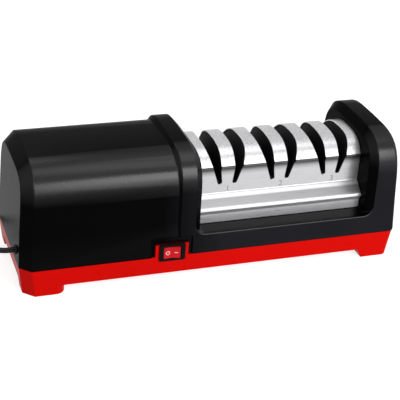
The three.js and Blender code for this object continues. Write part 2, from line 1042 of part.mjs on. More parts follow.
// Slot liner: the black inner moulding, with a walled channel at each slot
function linerOutline(inset, bottom) {
  const half = guideHalfDepth - coverSheet - partGap - inset;
  const top = guideCrest - coverSheet - partGap - inset;
  const arch = archHalf(half, top, guideRise, guidePower, guideSteps);
  const right = arch.slice().reverse();
  const left = arch.slice(1).map(([y, z]) => [-y, z]);
  return [[-half, bottom], [half, bottom], ...right, ...left];
}

function slotLiner() {
  const left = guideLeft + partGap;
  const right = guideRight - partGap;
  const outer = solidOf(extrudeX(linerOutline(0, guideBottom + partGap), left, right));
  const low = guideBottom - cutMargin;
  const innerShape = linerOutline(linerSheet, low);
  const inner = solidOf(extrudeX(innerShape, left + linerSheet, right - linerSheet));
  const shell = cut(outer, inner);
  const channels = eachSlot((c, s) => {
    const wall = slotTool(c, s, linerSlotInset - slotWall, -guideHalfDepth, guideHalfDepth);
    return wall.intersect(outer);
  });
  const wheelRoom = stages.map((centre) => wheelSpace(centre));
  const openings = eachSlot((c, s) => slotTool(c, s, linerSlotInset, -bodyDepth, bodyDepth));
  const spindleRoom = cylinderX(bearingRadius + cutMargin, left - 1, right + 1, roundPlain);
  return cut(
    join(shell, ...channels),
    ...wheelRoom,
    ...openings,
    spindleRoom.translate([0, 0, axisHeight]),
  );
}

function wheelSpace(centre) {
  const half = wheelOffset + wheelThickness / 2 + hubLength + clipThickness + cutMargin;
  const room = cylinderX(wheelRadius + cutMargin, centre - half, centre + half, roundFine);
  return room.translate([0, 0, axisHeight]);
}

// Abrasive wheel: a steel-backed cone frustum whose flank grinds the blade
function abrasiveWheel() {
  const t = wheelThickness / 2;
  const bore = spindleRadius + shaftGap;
  const profile = [
    [bore, -t],
    [wheelRadius - wheelRim / 2, -t],
    [wheelRadius, -t + wheelRim / 2],
    [wheelRadius, 0],
    [wheelFlankRadius, t],
    [hubRadius, t],
    [hubRadius, t + hubLength],
    [bore, t + hubLength],
    [bore, -t],
  ];
  return solidOf(turnX(profile, roundFine));
}

function wheelSpring() {
  const turns = springLoops;
  const steps = springLoops * springStepsPerLoop;
  const length = springLength - springWire;
  const points = Array.from({ length: steps + 1 }, (_, i) => {
    const share = i / steps;
    const angle = share * turns * 2 * Math.PI;
    return new THREE.Vector3(
      (share - 1 / 2) * length,
      springRadius * Math.cos(angle),
      springRadius * Math.sin(angle),
    );
  });
  return sweep(points, regularSection(springWire / 2, springWire / 2, springSides), steps);
}

function regularSection(halfU, halfV, sides) {
  return Array.from({ length: sides }, (_, i) => {
    const angle = ((i + 1 / 2) / sides) * 2 * Math.PI;
    return [halfU * Math.cos(angle), halfV * Math.sin(angle)];
  });
}

function sweep(points, section, steps) {
  const path = new THREE.CatmullRomCurve3(points, false, "centripetal");
  const geometry = new THREE.ExtrudeGeometry(shapeOf(section), {
    steps,
    extrudePath: path,
    bevelEnabled: false,
  });
  return solidOf(geometry);
}

// Spindle with a drive flat, running in two bearings
function wheelSpindle() {
  const shaft = cylinderX(spindleRadius, spindleLeft, spindleRight, roundPlain);
  const flat = box(
    spindleLeft - cutMargin,
    leftBearingX - bearingWidth,
    -spindleRadius * 2,
    spindleRadius * 2,
    spindleRadius - flatDepth,
    spindleRadius * 2,
  );
  return cut(shaft, flat);
}

function retainingClip() {
  const inner = spindleRadius + smallGap;
  const ring = ringX(inner, clipRadius, -clipThickness / 2, clipThickness / 2, roundPlain);
  const mouth = box(
    -clipThickness,
    clipThickness,
    0,
    clipRadius * 2,
    -inner / 2,
    inner / 2,
  );
  return cut(ring, mouth);
}

function bearing(inner) {
  return ringX(inner + smallGap, bearingRadius, -bearingWidth / 2, bearingWidth / 2, roundPlain);
}

function bearingPedestal() {
  const seat = bearingRadius + smallGap;
  const foot = bellyHeight + baseFloor + partGap;
  const outline = [
    [-pedestalHalfDepth, foot],
    [pedestalHalfDepth, foot],
    [bearingRadius + linerFlange, axisHeight],
    [bearingRadius / 2, axisHeight + bearingRadius + wallThickness / 2],
    [-bearingRadius / 2, axisHeight + bearingRadius + wallThickness / 2],
    [-bearingRadius - linerFlange, axisHeight],
  ];
  const block = solidOf(extrudeX(outline, -pedestalWidth / 2, pedestalWidth / 2));
  const bore = cylinderX(seat, -pedestalWidth, pedestalWidth, roundPlain);
  return cut(block, bore.translate([0, 0, axisHeight]));
}

// Motor: can, end cap, magnets, armature, commutator, brushes, shaft and fan
function motorCan() {
  const tube = ringX(
    motorRadius - motorSheet,
    motorRadius,
    motorLeft + capThickness + partGap,
    motorRight,
    roundFine,
  );
  const end = ringX(
    motorShaftRadius + partGap,
    motorRadius - smallGap,
    motorRight - motorSheet,
    motorRight,
    roundFine,
  );
  const vents = Array.from({ length: 4 }, (_, i) => {
    const window = box(
      motorRight - motorSheet * 2,
      motorRight + cutMargin,
      motorRadius / 2,
      motorRadius - motorSheet * 2,
      -motorSheet * 2,
      motorSheet * 2,
    );
    return window.rotate([i * 90, 0, 0]);
  });
  return cut(join(tube, end), ...vents);
}

function motorEndCap() {
  const x0 = motorLeft;
  const plate = ringX(motorShaftRadius + partGap, motorRadius, x0, x0 + capThickness, roundFine);
  const brushRoom = brushSize / 2 + partGap;
  const pockets = [-1, 1].map((side) => {
    const a = side * (commutatorRadius + partGap);
    const b = side * (motorRadius + cutMargin);
    return box(
      x0 + capThickness - partGap,
      x0 + capThickness + cutMargin,
      Math.min(a, b),
      Math.max(a, b),
      -brushRoom,
      brushRoom,
    );
  });
  return cut(plate, ...pockets);
}

function fieldMagnet(side) {
  const outer = motorRadius - motorSheet - partGap;
  const inner = outer - magnetThickness;
  const half = (magnetSweepDegrees / 2) * (Math.PI / 180);
  const arc = (radius, from, to) =>
    Array.from({ length: magnetSteps + 1 }, (_, i) => {
      const angle = from + ((to - from) * i) / magnetSteps;
      return [side * radius * Math.cos(angle), radius * Math.sin(angle)];
    });
  const points = [...arc(outer, -half, half), ...arc(inner, half, -half)];
  const ordered = side > 0 ? points : points.reverse();
  return solidOf(extrudeX(ordered, coreLeft, coreRight));
}

function armatureCore() {
  const stack = cylinderX(coreRadius, coreLeft, coreRight, roundFine);
  const bore = cylinderX(motorShaftRadius + smallGap, coreLeft - cutMargin, coreRight + cutMargin, roundPlain);
  const slots = Array.from({ length: coreSlots }, (_, i) => {
    const slot = box(
      coreLeft - cutMargin,
      coreRight + cutMargin,
      -coreSlotWidth / 2,
      coreSlotWidth / 2,
      coreRadius - coreSlotDepth,
      coreRadius + cutMargin,
    );
    return slot.rotate([(i * 360) / coreSlots, 0, 0]);
  });
  return cut(stack, bore, ...slots);
}

function windingEnd(side) {
  const x0 = side > 0 ? coreRight + partGap : coreLeft - partGap - windingReach;
  return ringX(motorShaftRadius + 2 * smallGap, windingRadius, x0, x0 + windingReach, roundPlain);
}

function commutator() {
  const drum = ringX(
    motorShaftRadius + smallGap,
    commutatorRadius,
    commutatorLeft + capThickness,
    commutatorRight,
    roundPlain,
  );
  const gaps = Array.from({ length: coreSlots }, (_, i) => {
    const gap = box(
      commutatorLeft,
      commutatorRight + cutMargin,
      -partGap,
      partGap,
      commutatorRadius - partGap * 2,
      commutatorRadius + cutMargin,
    );
    return gap.rotate([((i + 1 / 2) * 360) / coreSlots, 0, 0]);
  });
  return cut(drum, ...gaps);
}

function carbonBrush(side) {
  const a = side * (commutatorRadius + partGap);
  const b = side * (commutatorRadius + partGap + brushReach);
  const x0 = commutatorLeft + capThickness + partGap;
  return box(
    x0,
    x0 + brushSize,
    Math.min(a, b),
    Math.max(a, b),
    -brushSize / 2,
    brushSize / 2,
  );
}

function coolingFan() {
  const inner = motorShaftRadius + smallGap;
  const hub = ringX(inner, fanHubRadius, fanX, fanX + fanWidth, roundPlain);
  const disc = ringX(inner, fanRadius, fanX, fanX + fanDisc, roundFine);
  const blades = Array.from({ length: fanBladeCount }, (_, i) => {
    const blade = box(
      fanX + fanDisc / 2,
      fanX + fanWidth,
      -fanBladeThickness / 2,
      fanBladeThickness / 2,
      fanHubRadius - smallGap * 2,
      fanRadius,
    );
    return blade.rotate([(i * 360) / fanBladeCount, 0, 0]);
  });
  return join(hub, disc, ...blades);
}

function driveCoupling() {
  const left = motorShaftRight - couplingSocket;
  const right = spindleLeft + couplingSocket;
  const barrel = cylinderX(couplingRadius, left, right, roundPlain);
  const motorSocket = cylinderX(
    motorShaftRadius + smallGap,
    left - cutMargin,
    motorShaftRight + partGap,
    roundPlain,
  );
  const spindleSocket = cylinderX(
    spindleRadius + smallGap,
    spindleLeft - partGap,
    right + cutMargin,
    roundPlain,
  );
  return cut(barrel, motorSocket, spindleSocket);
}

function motorCradle() {
  const foot = bellyHeight + baseFloor + partGap;
  const outline = [
    [-cradleHalfDepth, foot],
    [cradleHalfDepth, foot],
    [cradleHalfDepth, axisHeight - motorSheet * 3],
    [-cradleHalfDepth, axisHeight - motorSheet * 3],
  ];
  const block = solidOf(extrudeX(outline, -cradleLength / 2, cradleLength / 2));
  const seat = cylinderX(motorRadius + partGap, -cradleLength, cradleLength, roundFine);
  return cut(block, seat.translate([0, 0, axisHeight]));
}

function suppressor() {
  const foot = bellyHeight + baseFloor + partGap;
  return box(
    capacitorX - capacitorLength / 2,
    capacitorX + capacitorLength / 2,
    capacitorY - capacitorWidth / 2,
    capacitorY + capacitorWidth / 2,
    foot,
    foot + capacitorHeight,
  );
}

// Rocker switch
function roundedRectangle(width, height, radius) {
  const steps = 3;
  const corners = [
    [width / 2 - radius, -height / 2 + radius, -Math.PI / 2],
    [width / 2 - radius, height / 2 - radius, 0],
    [-width / 2 + radius, height / 2 - radius, Math.PI / 2],
    [-width / 2 + radius, -height / 2 + radius, Math.PI],
  ];
  return corners.flatMap(([x, z, start]) =>
    Array.from({ length: steps + 1 }, (_, i) => {
      const angle = start + (i / steps) * (Math.PI / 2);
      return [x + radius * Math.cos(angle), z + radius * Math.sin(angle)];
    }),
  );
}

function switchFrame() {
  const face = -halfDepth + coverInset;
  const bezel = solidOf(
    extrudeY(
      roundedRectangle(bezelWidth, bezelHeight, bezelRadius),
      face - partGap - bezelStandOff,
      face - partGap,
    ),
  );
  const body = box(
    -switchBodyWidth / 2,
    switchBodyWidth / 2,
    face - partGap - smallGap,
    face + switchBodyDepth,
    -switchBodyHeight / 2,
    switchBodyHeight / 2,
  );
  const well = box(
    -rockerWidth / 2 - partGap,
    rockerWidth / 2 + partGap,
    face - bezelStandOff * 2,
    face + switchBodyDepth - wallThickness,
    -rockerHeight / 2 - partGap,
    rockerHeight / 2 + partGap,
  );
  return cut(join(bezel, body), well).translate([switchCentreX, 0, switchCentreZ]);
}

// The rocker turns about a vertical pin; its face is a shallow V, so one end stands proud
function switchRocker() {
  const half = rockerWidth / 2 - rockerEndRelief;
  const face = rockerPivotDepth + rockerReach;
  const outline = [
    [-half, -face],
    [0, -face + rockerDish],
    [half, -face],
    [half, -rockerPivotDepth / 2],
    [half - rockerDish, rockerPivotDepth],
    [-half + rockerDish, rockerPivotDepth],
    [-half, -rockerPivotDepth / 2],
  ];
  const solid = solidOf(extrudeZ(outline, -rockerHeight / 2, rockerHeight / 2));
  return solid.rotate([0, 0, -rockerTravel / 2]);
}

function switchTerminal(index) {
  const x = (index - 1 / 2) * terminalSpacing;
  const start = -halfDepth + coverInset + switchBodyDepth + partGap;
  const blade = box(
    x - terminalThickness / 2,
    x + terminalThickness / 2,
    start,
    start + terminalLength,
    -terminalWidth / 2,
    terminalWidth / 2,
  );
  return blade.translate([switchCentreX, 0, switchCentreZ]);
}

// Screw with a cross recess, head down
function caseScrew() {
  const profile = [
    [0, 0],
    [screwHeadRadius - screwHeadHeight / 4, 0],
    [screwHeadRadius, screwHeadHeight / 2],
    [screwHeadRadius, screwHeadHeight],
    [screwShankRadius, screwHeadHeight],
    [screwShankRadius, screwHeadHeight + screwLength],
    [0, screwHeadHeight + screwLength + screwShankRadius],
  ];
  const body = solidOf(turnZ(profile, roundPlain));
  const w = screwRecessWidth / 2;
  const a = screwRecessReach;
  return cut(
    body,
    box(-a, a, -w, w, -cutMargin, screwRecess),
    box(-w, w, -a, a, -cutMargin, screwRecess),
  );
}

// Mains cord, its coil behind the object and its plug
function cordSection(sides) {
  return regularSection(cordThickness / 2, cordWidth / 2, sides);
}

function strainRelief() {
  const face = -halfLength;
  const bore = cordWidth / 2 + partGap;
  const wall = leftEndLean * (cordExitZ - borderHeight);
  const profile = [
    [bore, face - reliefLength],
    [reliefRadius - partGap, face - reliefLength],
    [reliefRadius, face],
    [reliefRadius, face + reliefFlangeInset],
    [reliefFlange, face + reliefFlangeInset],
    [reliefFlange, face + reliefInside],
    [bore, face + reliefInside],
    [bore, face - reliefLength],
  ];
  return solidOf(turnX(profile, roundPlain)).translate([wall, cordExitY, cordExitZ]);
}

function cordLead() {
  const floor = cordThickness / 2 + cordRest;
  const arrive = coilCentreY - coilRadius;
  const level = cordExitZ;
  const points = [
    [-halfLength + cordInside, cordExitY, level],
    ...cordTurn.map(([x, y]) => [x - halfLength, y + cordExitY, level]),
    ...cordDrop.map(([y, z]) => [cordDropX - halfLength, y + cordExitY, z]),
    ...cordReturn.map(([x, y]) => [x - halfLength, y + arrive, floor]),
    [coilCentreX - cordWidth * 2, arrive, floor],
    [coilCentreX - cordWidth - partGap, arrive, floor],
  ];
  return sweep(points.map((p) => new THREE.Vector3(...p)), cordSection(8), cordSteps);
}

function coilPoints() {
  const floor = cordThickness / 2 + cordRest;
  const perTurn = coilStepsPerTurn;
  const half = perTurn / 2;
  const spiral = coilTurnsPerLayer * perTurn;
  const inner = coilRadius - coilPitch * coilTurnsPerLayer;
  const points = [];
  const place = (step, radius, z) => {
    const angle = (step / perTurn) * 2 * Math.PI;
    points.push([
      coilCentreX + radius * Math.sin(angle),
      coilCentreY - radius * Math.cos(angle),
      z,
    ]);
  };
  points.push([coilCentreX - cordWidth, coilCentreY - coilRadius, floor]);
  const ease = (share) => (1 - Math.cos(Math.min(1, Math.max(0, share)) * Math.PI)) / 2;
  for (let i = 0; i <= spiral; i += 1) {
    const dip = coilDip * ease((i - spiral + half) / half);
    place(i, coilRadius + ((inner - coilRadius) * i) / spiral - dip, floor);
  }
  for (let i = 1; i < half; i += 1) {
    place(i + spiral, inner - coilDip, floor + coilLayer * ease(i / half));
  }
  for (let i = 0; i <= spiral; i += 1) {
    const dip = coilDip * ease((half - i) / half);
    const radius = inner + ((coilRadius - inner) * i) / spiral - dip;
    place(i + spiral + half, radius, floor + coilLayer);
  }
  const y = coilCentreY + coilRadius;
  const high = floor + coilLayer;
  points.push([coilCentreX - cordWidth * 3, y, high + (plugHeight / 2 - high) / 2]);
  points.push([coilCentreX - cordWidth * 6, y, plugHeight / 2 + cordRest]);
  points.push([coilCentreX - cordWidth * 7.2, y, plugHeight / 2 + cordRest]);
  return points;
}

function leastCoilGap(points) {
  let least = Infinity;
  const apart = coilStepsPerTurn / 2;
  for (let i = 0; i < points.length; i += 1) {
    for (let k = i + apart; k < points.length; k += 1) {
      const side = Math.hypot(points[i][0] - points[k][0], points[i][1] - points[k][1]);
      const up = Math.abs(points[i][2] - points[k][2]);
      const gap = Math.max(side - cordWidth, up - cordThickness);
      least = Math.min(least, gap);
    }
  }
  return least;
}

function cordCoil() {
  const points = coilPoints();
  console.log("least gap of the coil to itself, mm", leastCoilGap(points).toFixed(2));
  return sweep(points.map((p) => new THREE.Vector3(...p)), cordSection(6), points.length - 1);
}

function plugFrame() {
  return {
    x: coilCentreX - cordWidth * 7.2 - partGap,
    y: coilCentreY + coilRadius,
    z: plugHeight / 2 + cordRest,
  };
}

function mainsPlug() {
  const place = plugFrame();
  const half = plugWidth / 2;
  const face = plugFaceWidth / 2;
  const outline = [
    [0, -half / 2],
    [0, half / 2],
    [-plugNose, half],
    [-plugLength + plugNose, face],
    [-plugLength, face],
    [-plugLength, -face],
    [-plugLength + plugNose, -face],
    [-plugNose, -half],
  ];
  const solid = solidOf(extrudeZ(outline, -plugHeight / 2, plugHeight / 2));
  return solid.translate([place.x, place.y, place.z]);
}

function plugPin(side) {
  const place = plugFrame();
  const end = -plugLength - partGap;
  const profile = [
    [0, end - pinLength],
    [pinRadius / 2, end - pinLength],
    [pinRadius, end - pinLength + pinRadius],
    [pinRadius, end],
    [0, end],
  ];
  const solid = solidOf(turnX(profile, roundSmall));
  return solid.translate([place.x, place.y + (side * pinSpacing) / 2, place.z]);
}

// Assembly
const sharpener = new THREE.Group();
sharpener.name = "knife_sharpener";

function group(name, x, y, z, parent = sharpener) {
  const made = new THREE.Group();
  made.name = name;
  made.position.set(x, y, z);
  parent.add(made);
  return made;
}

function piece(name, solid, colour, parent = sharpener, roughness = 0.5, metalness = 0) {
  const material = new THREE.MeshStandardMaterial({ color: colour, roughness, metalness });
  const mesh = new THREE.Mesh(geometryOf(solid), material);
  mesh.name = name;
  parent.add(mesh);
  return mesh;
}

function addCase() {
  piece("base_tray", baseTray(), palette.redPlastic);
  piece("upper_housing", upperHousing(), palette.blackPlastic);
  piece("guide_cover", guideCover(), palette.brushedSteel, sharpener, 0.3, 1);
  piece("slot_liner", slotLiner(), palette.blackPlastic);
  for (const [place, x, y] of padSites()) {
    piece("foot_pad_" + place, footPad(), palette.rubber).position.set(x, y, 0);
  }
  const corners = ["rear_left", "front_left", "rear_right", "front_right"];
  const screws = [
    [screwXLeft, screwY],
    [screwXLeft, -screwY],
    [screwXRight, screwY],
    [screwXRight, -screwY],
  ];
  const head = bellyHeight + counterbore - screwHeadHeight - partGap;
  screws.forEach(([x, y], i) => {
    const screw = piece("case_screw_" + corners[i], caseScrew(), palette.steel);
    screw.position.set(x, y, head);
  });
}

function addSwitch() {
  piece("switch_frame", switchFrame(), palette.blackPlastic);
  const rocker = piece("switch_rocker", switchRocker(), palette.redLens);
  rocker.position.set(
    switchCentreX,
    -halfDepth + coverInset + rockerPivotDepth,
    switchCentreZ,
  );
  piece("switch_terminal_in", switchTerminal(0), palette.brass, sharpener, 0.35, 1);
  piece("switch_terminal_out", switchTerminal(1), palette.brass, sharpener, 0.35, 1);
}

function addMotor() {
  const motor = group("drive_motor", 0, 0, axisHeight);
  piece("motor_can", motorCan(), palette.darkSteel, motor, 0.4, 1);
  piece("motor_end_cap", motorEndCap(), palette.nylon, motor);
  piece("field_magnet_front", fieldMagnet(-1), palette.ferrite, motor);
  piece("field_magnet_rear", fieldMagnet(1), palette.ferrite, motor);
  piece("armature_core", armatureCore(), palette.darkSteel, motor, 0.5, 1);
  piece("winding_end_left", windingEnd(-1), palette.copper, motor, 0.4, 1);
  piece("winding_end_right", windingEnd(1), palette.copper, motor, 0.4, 1);
  piece("commutator", commutator(), palette.copper, motor, 0.3, 1);
  piece("carbon_brush_front", carbonBrush(-1), palette.carbon, motor);
  piece("carbon_brush_rear", carbonBrush(1), palette.carbon, motor);
  const shaft = cylinderX(motorShaftRadius, motorShaftLeft, motorShaftRight, roundPlain);
  piece("motor_shaft", shaft, palette.steel, motor, 0.3, 1);
  piece("cooling_fan", coolingFan(), palette.nylon, motor);
  piece("motor_cradle_left", motorCradle(), palette.blackPlastic).position.x = cradleLeftX;
  piece("motor_cradle_right", motorCradle(), palette.blackPlastic).position.x = cradleRightX;
  piece("suppressor_capacitor", suppressor(), palette.yellow);
}

function addSpindle() {
  const drive = group("wheel_drive", 0, 0, axisHeight);
  piece("drive_coupling", driveCoupling(), palette.rubber, drive);
  piece("wheel_spindle", wheelSpindle(), palette.steel, drive, 0.3, 1);
  const bearings = [
    ["left", leftBearingX],
    ["right", rightBearingX],
  ];
  for (const [side, x] of bearings) {
    piece("spindle_bearing_" + side, bearing(spindleRadius), palette.steel, drive)
      .position.set(x, 0, 0);
    piece("bearing_pedestal_" + side, bearingPedestal(), palette.blackPlastic)
      .position.set(x, 0, 0);
  }
  const grits = [
    ["coarse", palette.diamond],
    ["medium", palette.diamond],
    ["polishing", palette.ceramic],
  ];
  grits.forEach(([grit, colour], i) => {
    const stage = group(grit + "_stage", stages[i], 0, 0, drive);
    for (const side of [-1, 1]) {
      const place = side < 0 ? "_left" : "_right";
      const wheel = piece(grit + "_wheel" + place, abrasiveWheel(), colour, stage);
      wheel.position.x = side * wheelOffset;
      if (side < 0) wheel.rotation.z = Math.PI;
      const clip = piece(grit + "_clip" + place, retainingClip(), palette.steel, stage);
      const outer = wheelOffset + wheelThickness / 2 + hubLength;
      const reach = outer + clipThickness / 2 + partGap;
      clip.position.x = side * reach;
    }
    piece(grit + "_spring", wheelSpring(), palette.steel, stage, 0.3, 1);
  });
}

function addCord() {
  piece("strain_relief", strainRelief(), palette.rubber);
  piece("mains_cord", cordLead(), palette.rubber);
  piece("cord_coil", cordCoil(), palette.rubber);
  piece("mains_plug", mainsPlug(), palette.rubber);
  piece("plug_pin_front", plugPin(-1), palette.brass, sharpener, 0.3, 1);
  piece("plug_pin_rear", plugPin(1), palette.brass, sharpener, 0.3, 1);
}

addCase();
addSwitch();
addMotor();
addSpindle();
addCord();

export default sharpener;
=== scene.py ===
"""Looks of an electric knife sharpener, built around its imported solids, in metres."""

import math

import bmesh
import bpy
from mathutils import Matrix, Vector


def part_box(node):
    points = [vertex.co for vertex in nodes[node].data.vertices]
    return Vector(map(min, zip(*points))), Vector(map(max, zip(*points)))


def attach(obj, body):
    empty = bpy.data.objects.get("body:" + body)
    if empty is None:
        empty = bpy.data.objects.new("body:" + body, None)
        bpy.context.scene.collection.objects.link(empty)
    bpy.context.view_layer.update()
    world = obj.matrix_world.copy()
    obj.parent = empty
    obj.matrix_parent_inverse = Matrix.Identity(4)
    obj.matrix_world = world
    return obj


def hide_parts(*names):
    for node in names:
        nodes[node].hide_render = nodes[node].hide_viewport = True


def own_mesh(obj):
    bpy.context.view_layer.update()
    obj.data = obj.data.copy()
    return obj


bl_info = {
    "name": "Knife sharpener looks",
    "version": (1, 0, 0),
    "blender": (4, 5, 0),
    "location": "View3D > Sidebar > Sharpener",
    "description": "Materials and detailed pieces of an electric knife sharpener",
    "category": "Object",
}

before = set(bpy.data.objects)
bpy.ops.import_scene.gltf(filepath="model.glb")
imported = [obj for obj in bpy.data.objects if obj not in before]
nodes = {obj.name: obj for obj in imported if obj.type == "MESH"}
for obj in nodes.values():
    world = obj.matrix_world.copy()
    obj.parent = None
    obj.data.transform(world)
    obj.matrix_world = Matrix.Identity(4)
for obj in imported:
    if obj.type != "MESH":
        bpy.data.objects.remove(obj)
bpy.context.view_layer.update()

MM = 0.001
# Points closer than this are one, and faces that turn less than this are one flat
WELD_REACH = 0.01 * MM
FLAT_TURN = math.radians(0.4)
BEVEL_SAMPLES = 8


# Colour, nodes and meshes
def linear(hex_colour):
    """An sRGB hex colour as linear RGBA."""
    values = [int(hex_colour[i : i + 2], 16) / 255 for i in (0, 2, 4)]
    flat = [v / 12.92 if v <= 0.04045 else ((v + 0.055) / 1.055) ** 2.4 for v in values]
    return (*flat, 1.0)


def add(tree, kind, settings=None, links=None):
    """Adds a node, with its settings or input values, and links into its inputs."""
    node = tree.nodes.new(kind)
    for key, value in (settings or {}).items():
        if isinstance(key, str) and hasattr(node, key):
            setattr(node, key, value)
        else:
            node.inputs[key].default_value = value
    for key, socket in (links or {}).items():
        tree.links.new(socket, node.inputs[key])
    return node


def per_mm(size):
    """The scale of a texture whose cells are that many millimetres wide."""
    return 1000.0 / size


def started(name, settings):
    """A new material, its tree, its shader and its object coordinates."""
    material = bpy.data.materials.new(name)
    material.use_nodes = True
    tree = material.node_tree
    tree.nodes.clear()
    shader = add(tree, "ShaderNodeBsdfPrincipled", settings)
    out = add(tree, "ShaderNodeOutputMaterial")
    tree.links.new(shader.outputs[0], out.inputs[0])
    place = add(tree, "ShaderNodeTexCoord").outputs["Object"]
    return material, tree, shader, place


def dress(name, material):
    """Gives a CAD node its material."""
    data = nodes[name].data
    data.materials.clear()
    data.materials.append(material)


def soften(obj, width, angle=30.0, segments=3):
    """Rounds a piece's edges, to a width in millimetres, and smooths the faces between
    edges sharper than the angle in degrees. Short faces beside an edge hold its
    rounding back, so the main mouldings draw the rest in their material."""
    weld = obj.modifiers.new("weld", "WELD")
    weld.merge_threshold = WELD_REACH
    if width > 0:
        flat = obj.modifiers.new("flats", "DECIMATE")
        flat.decimate_type = "DISSOLVE"
        flat.angle_limit = FLAT_TURN
        round_edge = obj.modifiers.new("rounded edges", "BEVEL")
        round_edge.width = width * MM
        round_edge.segments = segments
        round_edge.limit_method = "ANGLE"
        round_edge.angle_limit = math.radians(angle)
        round_edge.miter_outer = "MITER_ARC"
    smooth = obj.modifiers.new("smooth faces", "NODES")
    smooth.node_group = smoothing(angle)
    if width > 0:
        even = obj.modifiers.new("even normals", "WEIGHTED_NORMAL")
        even.keep_sharp = True


def smoothing(angle):
    """A geometry tree that shades faces smooth, but for edges above the angle."""
    name = f"smooth_{angle:g}"
    if name in bpy.data.node_groups:
        return bpy.data.node_groups[name]
    tree = bpy.data.node_groups.new(name, "GeometryNodeTree")
    for way in ("INPUT", "OUTPUT"):
        tree.interface.new_socket(
            "Geometry", in_out=way, socket_type="NodeSocketGeometry"
        )
    start = add(tree, "NodeGroupInput")
    faces = add(
        tree, "GeometryNodeSetShadeSmooth", {"domain": "FACE"}, {0: start.outputs[0]}
    )
    turn = add(tree, "GeometryNodeInputMeshEdgeAngle")
    sharp = add(
        tree,
        "FunctionNodeCompare",
        {"operation": "GREATER_THAN", 1: math.radians(angle)},
        {0: turn.outputs[0]},
    )
    edges = add(
        tree,
        "GeometryNodeSetShadeSmooth",
        {"domain": "EDGE", "Shade Smooth": False},
        {0: faces.outputs[0], "Selection": sharp.outputs[0]},
    )
    end = add(tree, "NodeGroupOutput")
    tree.links.new(edges.outputs[0], end.inputs[0])
    return tree


def made(name, verts, faces, material, body, smooth=True):
    """A mesh piece that rides on a body."""
    mesh = bpy.data.meshes.new(name)
    mesh.from_pydata([tuple(v) for v in verts], [], faces)
    mesh.validate()
    mesh.polygons.foreach_set("use_smooth", [smooth] * len(mesh.polygons))
    mesh.materials.append(material)
    obj = bpy.data.objects.new(name, mesh)
    bpy.context.scene.collection.objects.link(obj)
    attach(obj, body)
    return obj


# Materials
# Y times Z of the normal where the case's shoulders start to shine and shine in full,
# and the specular level at both
SHOULDER_SLANT = (-0.06, -0.45)
SHOULDER_GLOSS = (0.01, 0.34)
# X in metres over which the case's front wall is painted lighter, from the collar to the
# bay, as a painted pool of lamp light, and Y of the normal where a face starts and ends
# being part of that wall
PAINTED_LIGHT_FROM, PAINTED_LIGHT_TO = -46 * MM, 6 * MM
FRONT_WALL = (-0.8, -0.97)
# Share of the housing's colour on most of the case, and on the most brightly painted
# part of that wall
CASE_SHARE, PAINTED_LIGHT_SHARE = 0.9, 8.0


def black_abs():
    """ABS moulded in a spark-eroded tool: near black, with a fine pebble, drawn at
    0.9 mm so that it shows, which spreads the lamps into broad soft highlights. The
    front shoulders and edges are drawn smoother than the flat walls, so that they shine
    and the walls stay deep black. The front wall is painted lighter beside the wheels, a
    painted pool of lamp light."""
    material, tree, shader, place = started(
        "ABS, spark-eroded black", {"Specular IOR Level": 0.08}
    )
    pebble = add(
        tree,
        "ShaderNodeTexNoise",
        {"Scale": per_mm(0.9), "Detail": 4.0},
        {"Vector": place},
    )
    flow = add(
        tree,
        "ShaderNodeTexNoise",
        {"Scale": per_mm(45), "Detail": 2.0},
        {"Vector": place},
    )
    tone = add(
        tree,
        "ShaderNodeMix",
        {
            "data_type": "RGBA",
            6: shade(colours().housing, 0.8),
            7: shade(colours().housing, 1.2),
        },
        {0: flow.outputs[0]},
    )
    edge = add(
        tree,
        "ShaderNodeBevel",
        {"samples": BEVEL_SAMPLES, "Radius": sizes().housing_edge},
    )
    facing = add(tree, "ShaderNodeSeparateXYZ", {}, {0: edge.outputs[0]})
    along = add(tree, "ShaderNodeSeparateXYZ", {}, {0: place})
    # Painted light: the front wall's colour is raised up to 8 times towards the bay,
    # standing in for lamp light
    lit_along = add(
        tree,
        "ShaderNodeMapRange",
        {"From Min": PAINTED_LIGHT_FROM, "From Max": PAINTED_LIGHT_TO},
        {"Value": along.outputs[0]},
    )
    on_front = add(
        tree,
        "ShaderNodeMapRange",
        {"From Min": FRONT_WALL[0], "From Max": FRONT_WALL[1]},
        {"Value": facing.outputs[1]},
    )
    painted_light = add(
        tree,
        "ShaderNodeMath",
        {"operation": "MULTIPLY"},
        {0: lit_along.outputs[0], 1: on_front.outputs[0]},
    )
    share = add(
        tree,
        "ShaderNodeMapRange",
        {"To Min": CASE_SHARE, "To Max": PAINTED_LIGHT_SHARE},
        {"Value": painted_light.outputs[0]},
    )
    lit_wall_tone = add(
        tree,
        "ShaderNodeMix",
        {"data_type": "RGBA", "blend_type": "MULTIPLY", 0: 1.0},
        {6: tone.outputs[2], 7: share.outputs[0]},
    )
    gloss = add(
        tree,
        "ShaderNodeMapRange",
        {"To Min": 0.24, "To Max": 0.32},
        {"Value": pebble.outputs[0]},
    )
    bump = add(
        tree,
        "ShaderNodeBump",
        {"Strength": 0.12, "Distance": 0.05 * MM},
        {"Height": pebble.outputs[0], "Normal": edge.outputs[0]},
    )
    slant = add(
        tree,
        "ShaderNodeMath",
        {"operation": "MULTIPLY"},
        {0: facing.outputs[1], 1: facing.outputs[2]},
    )
    polish = add(
        tree,
        "ShaderNodeMapRange",
        {
            "From Min": SHOULDER_SLANT[0],
            "From Max": SHOULDER_SLANT[1],
            "To Min": SHOULDER_GLOSS[0],
            "To Max": SHOULDER_GLOSS[1],
        },
        {"Value": slant.outputs[0]},
    )
    tree.links.new(lit_wall_tone.outputs[2], shader.inputs["Base Color"])
    tree.links.new(gloss.outputs[0], shader.inputs["Roughness"])
    tree.links.new(polish.outputs[0], shader.inputs["Specular IOR Level"])
    tree.links.new(bump.outputs[0], shader.inputs["Normal"])
    return material


# Depth below the switch's top, in metres, where the painted shade on the base's tab,
# standing in for the shade under the black lip, starts and is darkest, and the share of
# the base's colour there
SHADE_STRIP_FROM, SHADE_STRIP_TO = 0.6 * MM, 0.2 * MM
SHADE_STRIP_SHARE = 0.04


